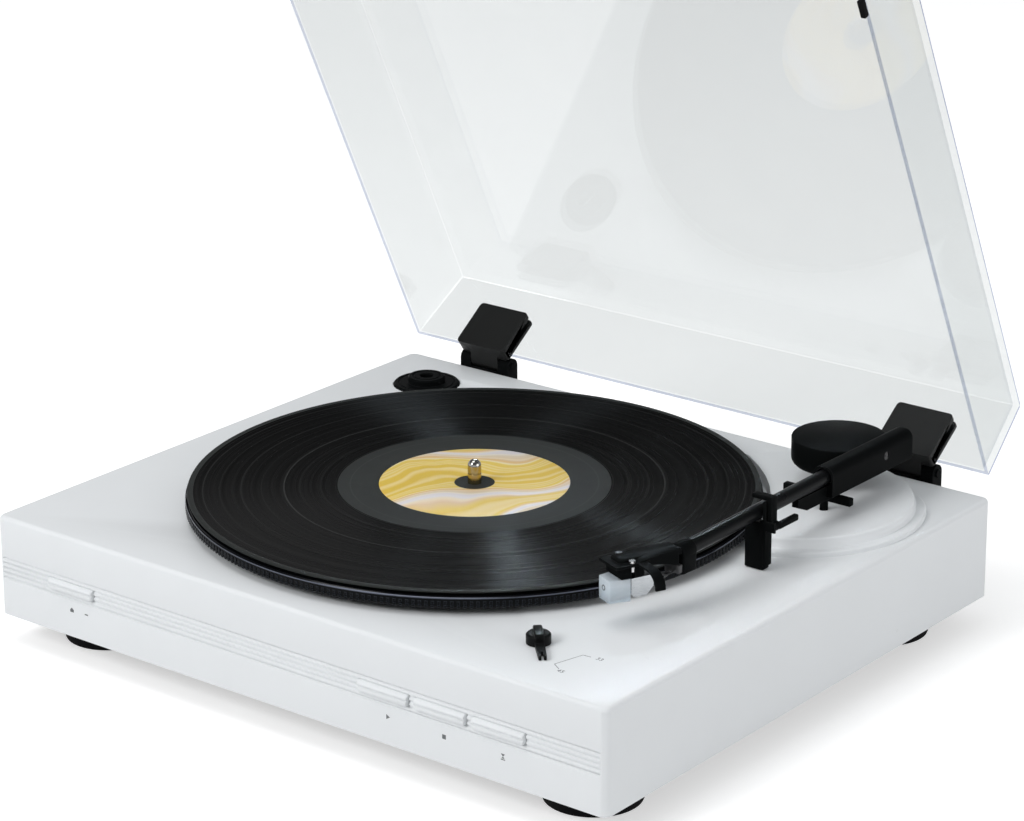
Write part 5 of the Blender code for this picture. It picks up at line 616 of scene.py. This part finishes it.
def make_prints():
    """Marks under the keys and the speed scale on the top."""
    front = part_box("plinth_shell")[0].y
    upright = Matrix.Rotation(QUARTER_TURN, 4, "X")

    def at_front(x, z):
        return Matrix.Translation((x * MM, front + 0.004 * MM, z * MM)) @ upright

    ink = 0.03 * MM
    flat_print(
        "start_mark", [[(-1.1, -1.3), (1.2, 0), (-1.1, 1.3)]], "plinth_shell", ink, at_front(68.7, 30.7),
    )
    flat_print("stop_mark", [block(-1.15, -1.15, 1.15, 1.15)], "plinth_shell", ink, at_front(103.6, 30.2))
    lower = [
        block(-1.3, -1.7, 1.3, -1.2), [(-0.9, -0.85), (0.9, -0.85), (0, 0.3)],
        [(-1.25, 1.5), (0, 0.15), (1.25, 1.5)],
    ]
    flat_print("lift_mark", lower, "plinth_shell", ink, at_front(139.4, 30.1))
    power = [block(-1.3, -1.1, 1.3, 0.5), [(-0.9, 0.5), (0.9, 0.5), (0.0, 1.5)]]
    flat_print("power_mark", power, "plinth_shell", ink, at_front(-146.1, 31.0))
    flat_print("power_dash", [block(-1.2, -0.35, 1.2, 0.35)], "plinth_shell", ink, at_front(-135.6, 31.0))

    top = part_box("plinth_shell")[1].z - 8.0 * MM
    scale = [
        stroke((149.6, -162.5), (153.9, -146.0), 0.35),
        stroke((149.6, -162.5), (154.8, -165.8), 0.35),
        stroke((153.9, -146.0), (158.4, -145.7), 0.35),
    ]
    flat_print("speed_scale", scale, "plinth_shell", ink, Matrix.Translation((0, 0, top)))
    for number, spot in (("45", (157.0, -167.3)), ("33", (163.2, -145.2))):
        text = bpy.data.curves.new("numeral_" + number, "FONT")
        text.body, text.size, text.extrude = number, 4.0 * MM, 0.015 * MM
        text.align_x, text.align_y = "CENTER", "CENTER"
        holder = bpy.data.objects.new("numeral_" + number, text)
        bpy.context.scene.collection.objects.link(holder)
        bpy.context.view_layer.update()
        mesh = bpy.data.meshes.new_from_object(holder.evaluated_get(bpy.context.evaluated_depsgraph_get()))
        bpy.data.objects.remove(holder)
        shape = bmesh.new()
        shape.from_mesh(mesh)
        bpy.data.meshes.remove(mesh)
        bmesh.ops.translate(shape, verts=shape.verts, vec=(spot[0] * MM, spot[1] * MM, top + 0.018 * MM))
        set_piece("speed_numeral_" + number, shape, "plinth_shell", finishes=[GREY_INK])


def make_beam_pin():
    """The head of the pivot's pin, flush in the beam's right side."""
    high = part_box("arm_beam")[1]
    profile = [
        (0, 0.02 * MM), (1.0 * MM, 0.02 * MM), (1.15 * MM, -0.1 * MM), (1.35 * MM, -0.1 * MM),
        (1.5 * MM, 0.02 * MM), (1.75 * MM, 0.0), (1.75 * MM, -0.3 * MM), (0, -0.3 * MM),
    ]
    shape = spun(profile, Vector((0, 0, 0)), 40)
    spot = Matrix.Translation((high.x - 0.025 * MM, 104.1 * MM, 98.9 * MM))
    bmesh.ops.transform(shape, matrix=spot @ Matrix.Rotation(QUARTER_TURN, 4, "Y"), verts=shape.verts)
    set_piece("beam_pin", shape, "arm_beam", finishes=[PIN_HEAD])


HEAD_SPOT = Matrix.Translation((141.5 * MM, -110.923 * MM, 100.0 * MM))
HEAD_PLACE = HEAD_SPOT @ Matrix.Rotation(math.radians(-22.5), 4, "Z")


def make_head_shroud():
    """The sloping back of the headshell, from the cartridge screws to the collar."""
    shape = bmesh.new()
    # Each section: Y, reach to the left and right, lower and upper edge, and the crown over the upper edge
    sections = (
        (12.8, 7.9, 7.5, 1.95, 3.4, 0.1), (15.0, 7.9, 7.5, 1.6, 4.1, 0.5), (19.0, 7.7, 7.3, 1.0, 4.5, 0.7),
        (27.0, 6.4, 6.0, -0.6, 4.8, 0.7), (37.5, 5.4, 5.2, -3.0, 5.0, 0.7),
    )
    for y, left, right, low, high, crown in sections:
        ridge, slope = high + crown, 1.3
        corners = (
            (-left, low), (-left, high), (slope - left, ridge),
            (right - slope, ridge), (right, high), (right, low),
        )
        ring = [shape.verts.new((x * MM, y * MM, z * MM)) for x, z in corners]
        for a, b in zip(ring, ring[1:] + ring[:1]):
            shape.edges.new((a, b))
    bmesh.ops.bridge_loops(shape, edges=shape.edges[:])
    bmesh.ops.holes_fill(shape, edges=shape.edges[:], sides=0)
    bmesh.ops.recalc_face_normals(shape, faces=shape.faces)
    bmesh.ops.transform(shape, matrix=HEAD_PLACE, verts=shape.verts)
    set_piece("headshell_shroud", shape, "headshell", sharp=50)


def make_guard_boss():
    """The small round boss on the front of the stylus guard."""
    profile = [(0.95 * MM, 0), (1.55 * MM, 0), (1.5 * MM, 0.16 * MM), (1.0 * MM, 0.16 * MM), (0.95 * MM, 0)]
    shape = spun(profile, Vector((0, 0, 0)), 32)
    spot = HEAD_PLACE @ Matrix.Translation((-0.3 * MM, -1.56 * MM, -9.0 * MM))
    bmesh.ops.transform(shape, matrix=spot @ Matrix.Rotation(QUARTER_TURN, 4, "X"), verts=shape.verts)
    set_piece("guard_boss", shape, "stylus_guard", finishes=[GREY_INK])


def make_hinge_saddles():
    """A saddle under each hinge barrel, between the bracket's ears."""
    profile = (
        (151.5, 62.0), (151.5, 71.4), (152.1, 71.2), (153.2, 70.8), (154.6, 70.3), (156.1, 70.1),
        (157.6, 70.3), (159.0, 71.0), (159.0, 62.0),
    )
    width = 19.2
    for side, middle in (("left", -145.5), ("right", 145.5)):
        shape = bmesh.new()
        outline = [((middle - width / 2) * MM, y * MM, z * MM) for y, z in profile]
        prism(shape, outline, (width * MM, 0, 0))
        bmesh.ops.recalc_face_normals(shape, faces=shape.faces)
        break_edges(shape, [edge for edge in shape.edges if edge.calc_face_angle(0) > 0.8], 0.2 * MM)
        set_piece("hinge_saddle_" + side, shape, "hinge_bracket_" + side, sharp=40)


def make_cover():
    """The clear cover; its rim and its outer right corners show the tint of a deep sheet; its right side walls
    and broken edges get a clearer, lighter tint, painted light that draws thin highlight lines along the
    edges.
    """
    shape = merged_copy("dust_cover")
    finishes = [FINISHES["clear_cover"], ACRYLIC_EDGE, ACRYLIC_SIDE_HIGHLIGHT, ACRYLIC_CORNER]
    rim_tint, side_highlight_tint, corner_tint = 1, 2, 3
    rim = Matrix.Rotation(-COVER_OPEN, 3, "X") @ Vector((0, 0, -1))
    reach = max(vertex.co.dot(rim) for vertex in shape.verts)
    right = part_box("dust_cover")[1].x
    for face in shape.faces:
        centre = face.calc_center_median()
        if face.normal.dot(rim) > 0.98 and centre.dot(rim) > reach - 0.5 * MM:
            face.material_index = rim_tint
        elif centre.x > right - 6.0 * MM and 0.3 < face.normal.x < 0.95:
            face.material_index = corner_tint
        elif abs(face.normal.x) > 0.9 and centre.x > 0:
            face.material_index = side_highlight_tint
    cover = soften("dust_cover", 0.45 * MM, shape, finishes, 50)
    # Painted highlight: the broken edges take the lighter side tint, which draws thin light lines.
    cover.modifiers["broken_edges"].material = side_highlight_tint
    cover.data.set_sharp_from_angle(angle=math.radians(20))


def make_plinth():
    """The plinth with its front grooves opened into soft valleys between narrow ridges."""
    shape = merged_copy("plinth_shell")
    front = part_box("plinth_shell")[0].y
    top_groove, pitch = 47.9, 2.7
    open_grooves(shape, front, [(top_groove - pitch * i) * MM for i in range(5)], 0.86 * MM, 0.2 * MM)
    soften("plinth_shell", 0.22 * MM, shape=shape)


def open_grooves(shape, front, heights, mouth, floor):
    """Moves the lips of straight grooves apart and the corners of their floors together."""
    half_width, reach = 0.45 * MM, 0.9 * MM
    for vertex in shape.verts:
        depth = vertex.co.y - front
        if depth > reach:
            continue
        for height in heights:
            offset = vertex.co.z - height
            if abs(abs(offset) - half_width) < 0.03 * MM:
                vertex.co.z = height + math.copysign(mouth if depth < 0.1 * MM else floor, offset)


def make_turret_step():
    """The low step round the raised disc under the arm; it runs out before the right hinge."""
    inner, outer, foot, top, rounding = 64.0 * MM, 70.4 * MM, 70.9 * MM, 73.7 * MM, 1.0 * MM
    first, last, run_out = math.radians(288), math.radians(414), math.radians(22)
    turns = [math.radians(15 * i) for i in range(7)]
    rim, crest = outer - rounding, top - rounding
    shoulder = [(rim + rounding * math.sin(a), crest + rounding * math.cos(a)) for a in turns]
    shape = bmesh.new()
    corners = [(inner, foot), (inner, top), *shoulder, (outer, foot)]
    middle = TURRET_CENTRE
    ring = [shape.verts.new((middle.x + radius, middle.y, height)) for radius, height in corners]
    for a, b in zip(ring, ring[1:] + ring[:1]):
        shape.edges.new((a, b))
    start = Matrix.Rotation(first, 3, "Z")
    bmesh.ops.rotate(shape, verts=shape.verts[:], cent=middle, matrix=start)
    geom = shape.verts[:] + shape.edges[:]
    bmesh.ops.spin(shape, geom=geom, cent=middle, axis=(0, 0, 1), angle=last - first, steps=64)
    bmesh.ops.holes_fill(shape, edges=shape.edges[:], sides=0)
    bmesh.ops.recalc_face_normals(shape, faces=shape.faces)
    for vertex in shape.verts:
        offset = start.inverted() @ (vertex.co - middle)
        left = last - first - math.atan2(offset.y, offset.x)
        vertex.co.z = foot + (vertex.co.z - foot) * max(0.02, min(1.0, left / run_out))
    set_piece("turret_step", shape, "plinth_shell", sharp=40)


def make_keys():
    """Keys with a sloping upper edge that catches the light, and an opened groove."""
    groove, upper_edge, drop, setback = 43.0 * MM, 44.9 * MM, 0.85 * MM, 1.1 * MM
    for node in ("key_power", "key_start", "key_stop", "key_lift"):
        shape = merged_copy(node)
        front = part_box(node)[0].y
        open_grooves(shape, front, [groove], 0.7 * MM, 0.25 * MM)
        for vertex in shape.verts:
            depth = vertex.co.y - front
            if vertex.co.z > upper_edge and depth < 0.5 * MM:
                vertex.co.z -= drop
            elif vertex.co.z > upper_edge and depth < 0.9 * MM:
                vertex.co.y += setback
        soften(node, 0.12 * MM, shape=shape)


def make_hinge_sockets():
    """The cover's hinge plates, their corners well rounded."""
    back = Matrix.Rotation(COVER_OPEN, 3, "X")
    plate_top, plate_foot = 20.0 * MM, -1.2 * MM
    for side in ("left", "right"):
        node = "hinge_socket_" + side
        shape = merged_copy(node)
        low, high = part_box(node)
        corners = []
        for edge in shape.edges:
            a, b = (back @ (vertex.co - HINGE_AXIS) for vertex in edge.verts)
            outer = min(abs(edge.verts[0].co.x - low.x), abs(edge.verts[0].co.x - high.x)) < 0.05 * MM
            across = abs((b - a).normalized().y) > 0.95
            if outer and across and not plate_foot <= a.z <= plate_top:
                corners.append(edge)
        break_edges(shape, corners, 2.4 * MM, 5)
        soften(node, 0.35 * MM, shape=shape, finishes=[HINGE_FINISH])


def dress_remaining():
    """Every CAD node without a piece of its own gets its edges broken and its finish."""
    widths = {
        "arm_beam": 0.3 * MM, "headshell": 0.2 * MM,
        "cycle_cam_gear": 0.0, "hub_pinion": 0.0, "headshell_wires": 0.0, "drive_belt": 0.1 * MM,
        "stylus": 0.0, "slip_mat": 0.15 * MM,
    }
    for node in sorted(frame["nodes"]):
        if node not in DRESSED:
            soften(node, widths.get(node, 0.2 * MM))


make_record()
make_label()
make_spindle()
make_platter()
make_adapter()
for corner in ("front_left", "front_right", "rear_left", "rear_right"):
    make_foot("foot_" + corner)
make_prints()
make_beam_pin()
make_cover()
make_plinth()
make_turret_step()
make_keys()
make_hinge_sockets()
make_hinge_saddles()
make_head_shroud()
make_guard_boss()
soften("arm_lift_pin", 0.15 * MM, finishes=[PIN_HEAD])
soften("speed_selector", 0.2 * MM, finishes=[KNOB_FINISH])
soften("cartridge_screw_left", 0.2 * MM, finishes=[DARK_SCREW])
dress_remaining()


# Floor, light and camera

REAR_SPOT = (-0.685, 1.0, 1.54)
STREAK_BLUE = (0.78, 0.90, 1.0)
SHEEN_BLUE = (0.82, 0.92, 1.0)


def studio_white(bench, lit):
    """Adds plain white for what the camera, mirrors and clear plastic see, without lighting the object."""
    path = bench.add("ShaderNodeLightPath")
    seen = bench.sum("ADD", path.outputs["Is Camera Ray"], path.outputs["Is Glossy Ray"], clamp=True)
    seen = bench.sum("ADD", seen, path.outputs["Is Transmission Ray"], clamp=True)
    return bench.sum("MULTIPLY", seen, lit)


def make_floor():
    shape = bmesh.new()
    bmesh.ops.create_grid(shape, x_segments=1, y_segments=1, size=9.0)
    mesh = bpy.data.meshes.new("studio_floor")
    shape.to_mesh(mesh)
    shape.free()
    floor = bpy.data.objects.new("studio_floor", mesh)
    bpy.context.scene.collection.objects.link(floor)
    bench = Bench(
        "studio_paper", Specular_IOR_Level=0.0, Roughness=0.9, Base_Color=(0.80, 0.80, 0.80, 1.0),
        Emission_Color=(1, 1, 1, 1),
    )
    mesh.materials.append(bench.join(Emission_Strength=studio_white(bench, 0.50)))


def make_world():
    """White behind the object; polished faces see it near the horizon and a dimmer ceiling above."""
    world = bpy.data.worlds.new("studio_white")
    world.use_nodes = True
    bpy.context.scene.world = world
    tree = world.node_tree

    def math_node(operation, a, b, clamp=False):
        node = tree.nodes.new("ShaderNodeMath")
        node.operation, node.use_clamp = operation, clamp
        for socket, value in ((0, a), (1, b)):
            if isinstance(value, bpy.types.NodeSocket):
                tree.links.new(value, node.inputs[socket])
            else:
                node.inputs[socket].default_value = value
        return node.outputs[0]

    room = tree.nodes["Background"]
    room.inputs["Color"].default_value = (0.97, 0.985, 1.0, 1.0)
    room.inputs["Strength"].default_value = 0.42
    path = tree.nodes.new("ShaderNodeLightPath")
    sky = tree.nodes.new("ShaderNodeTexCoord")
    parts = tree.nodes.new("ShaderNodeSeparateXYZ")
    tree.links.new(sky.outputs["Generated"], parts.inputs[0])
    ceiling = tree.nodes.new("ShaderNodeMapRange")
    ceiling.interpolation_type = "SMOOTHSTEP"
    for socket, value in (("From Min", 0.14), ("From Max", 0.42), ("To Min", 0.75), ("To Max", 0.11)):
        ceiling.inputs[socket].default_value = value
    tree.links.new(parts.outputs["Z"], ceiling.inputs["Value"])
    plain = math_node("ADD", path.outputs["Is Camera Ray"], path.outputs["Is Transmission Ray"], True)
    mirrored = math_node("MULTIPLY", path.outputs["Is Glossy Ray"], ceiling.outputs[0])
    white = tree.nodes.new("ShaderNodeBackground")
    white.inputs["Color"].default_value = (1.0, 1.0, 1.0, 1.0)
    tree.links.new(math_node("MAXIMUM", plain, mirrored), white.inputs["Strength"])
    pick = tree.nodes.new("ShaderNodeMixShader")
    tree.links.new(math_node("MAXIMUM", plain, path.outputs["Is Glossy Ray"]), pick.inputs["Fac"])
    tree.links.new(room.outputs[0], pick.inputs[1])
    tree.links.new(white.outputs[0], pick.inputs[2])
    tree.links.new(pick.outputs[0], tree.nodes["World Output"].inputs["Surface"])


def softbox(name, place, aim, size, watts, lights=True, colour=(1.0, 1.0, 1.0), spread=180.0):
    """A square lamp; one that lights nothing is there for its mirror image alone."""
    lamp = bpy.data.lights.new(name, "AREA")
    lamp.shape, lamp.size, lamp.energy, lamp.color = "SQUARE", size, watts, colour
    lamp.spread = math.radians(spread)
    holder = bpy.data.objects.new(name, lamp)
    holder.location = place
    holder.rotation_mode = "QUATERNION"
    holder.rotation_quaternion = (Vector(aim) - Vector(place)).to_track_quat("-Z", "Y")
    holder.visible_diffuse = lights
    bpy.context.scene.collection.objects.link(holder)


def make_camera():
    azimuth, elevation, roll = math.radians(38.0238), math.radians(17.6693), math.radians(-0.1486)
    level = math.cos(elevation)
    back = Vector((math.sin(azimuth) * level, -math.cos(azimuth) * level, math.sin(elevation)))
    data = bpy.data.cameras.new("studio_camera")
    data.sensor_width, data.lens = 36.0, 119.86
    data.shift_x, data.shift_y = -0.02457, -0.10779
    data.clip_start, data.clip_end = 0.05, 40.0
    camera = bpy.data.objects.new("studio_camera", data)
    turn = (-back).to_track_quat("-Z", "Y").to_matrix() @ Matrix.Rotation(roll, 3, "Z")
    camera.matrix_world = Matrix.Translation((1.051464, -1.328321, 0.719904)) @ turn.to_4x4()
    bpy.context.scene.collection.objects.link(camera)
    bpy.context.scene.camera = camera


make_floor()
make_world()
softbox("front_softbox", (-1.0, -3.0, 2.25), (0, 0, 0.05), 1.5, 69.0)
softbox("top_softbox", (-0.3, -0.3, 1.9), (0, 0, 0.07), 1.0, 8.5)
softbox("side_fill", (1.9, 0.2, 0.5), (0, 0, 0.05), 1.2, 10.5)
softbox("rear_streak", REAR_SPOT, (0.075, -0.10, 0.08), 0.10, 0.12, False, STREAK_BLUE, 9.0)
softbox("rear_sheen", REAR_SPOT, (0, 0, 0.08), 0.13, 8.0, False, SHEEN_BLUE)
softbox("rear_glint", (-0.98, 0.83, 1.54), (0, 0, 0.08), 0.12, 3.0, False, SHEEN_BLUE)
softbox("side_streak", (-0.557, 1.413, 1.20), (0.10, -0.023, 0.08), 0.08, 0.022, False, STREAK_BLUE, 10.0)
make_camera()
bpy.context.scene.view_settings.view_transform = "Standard"
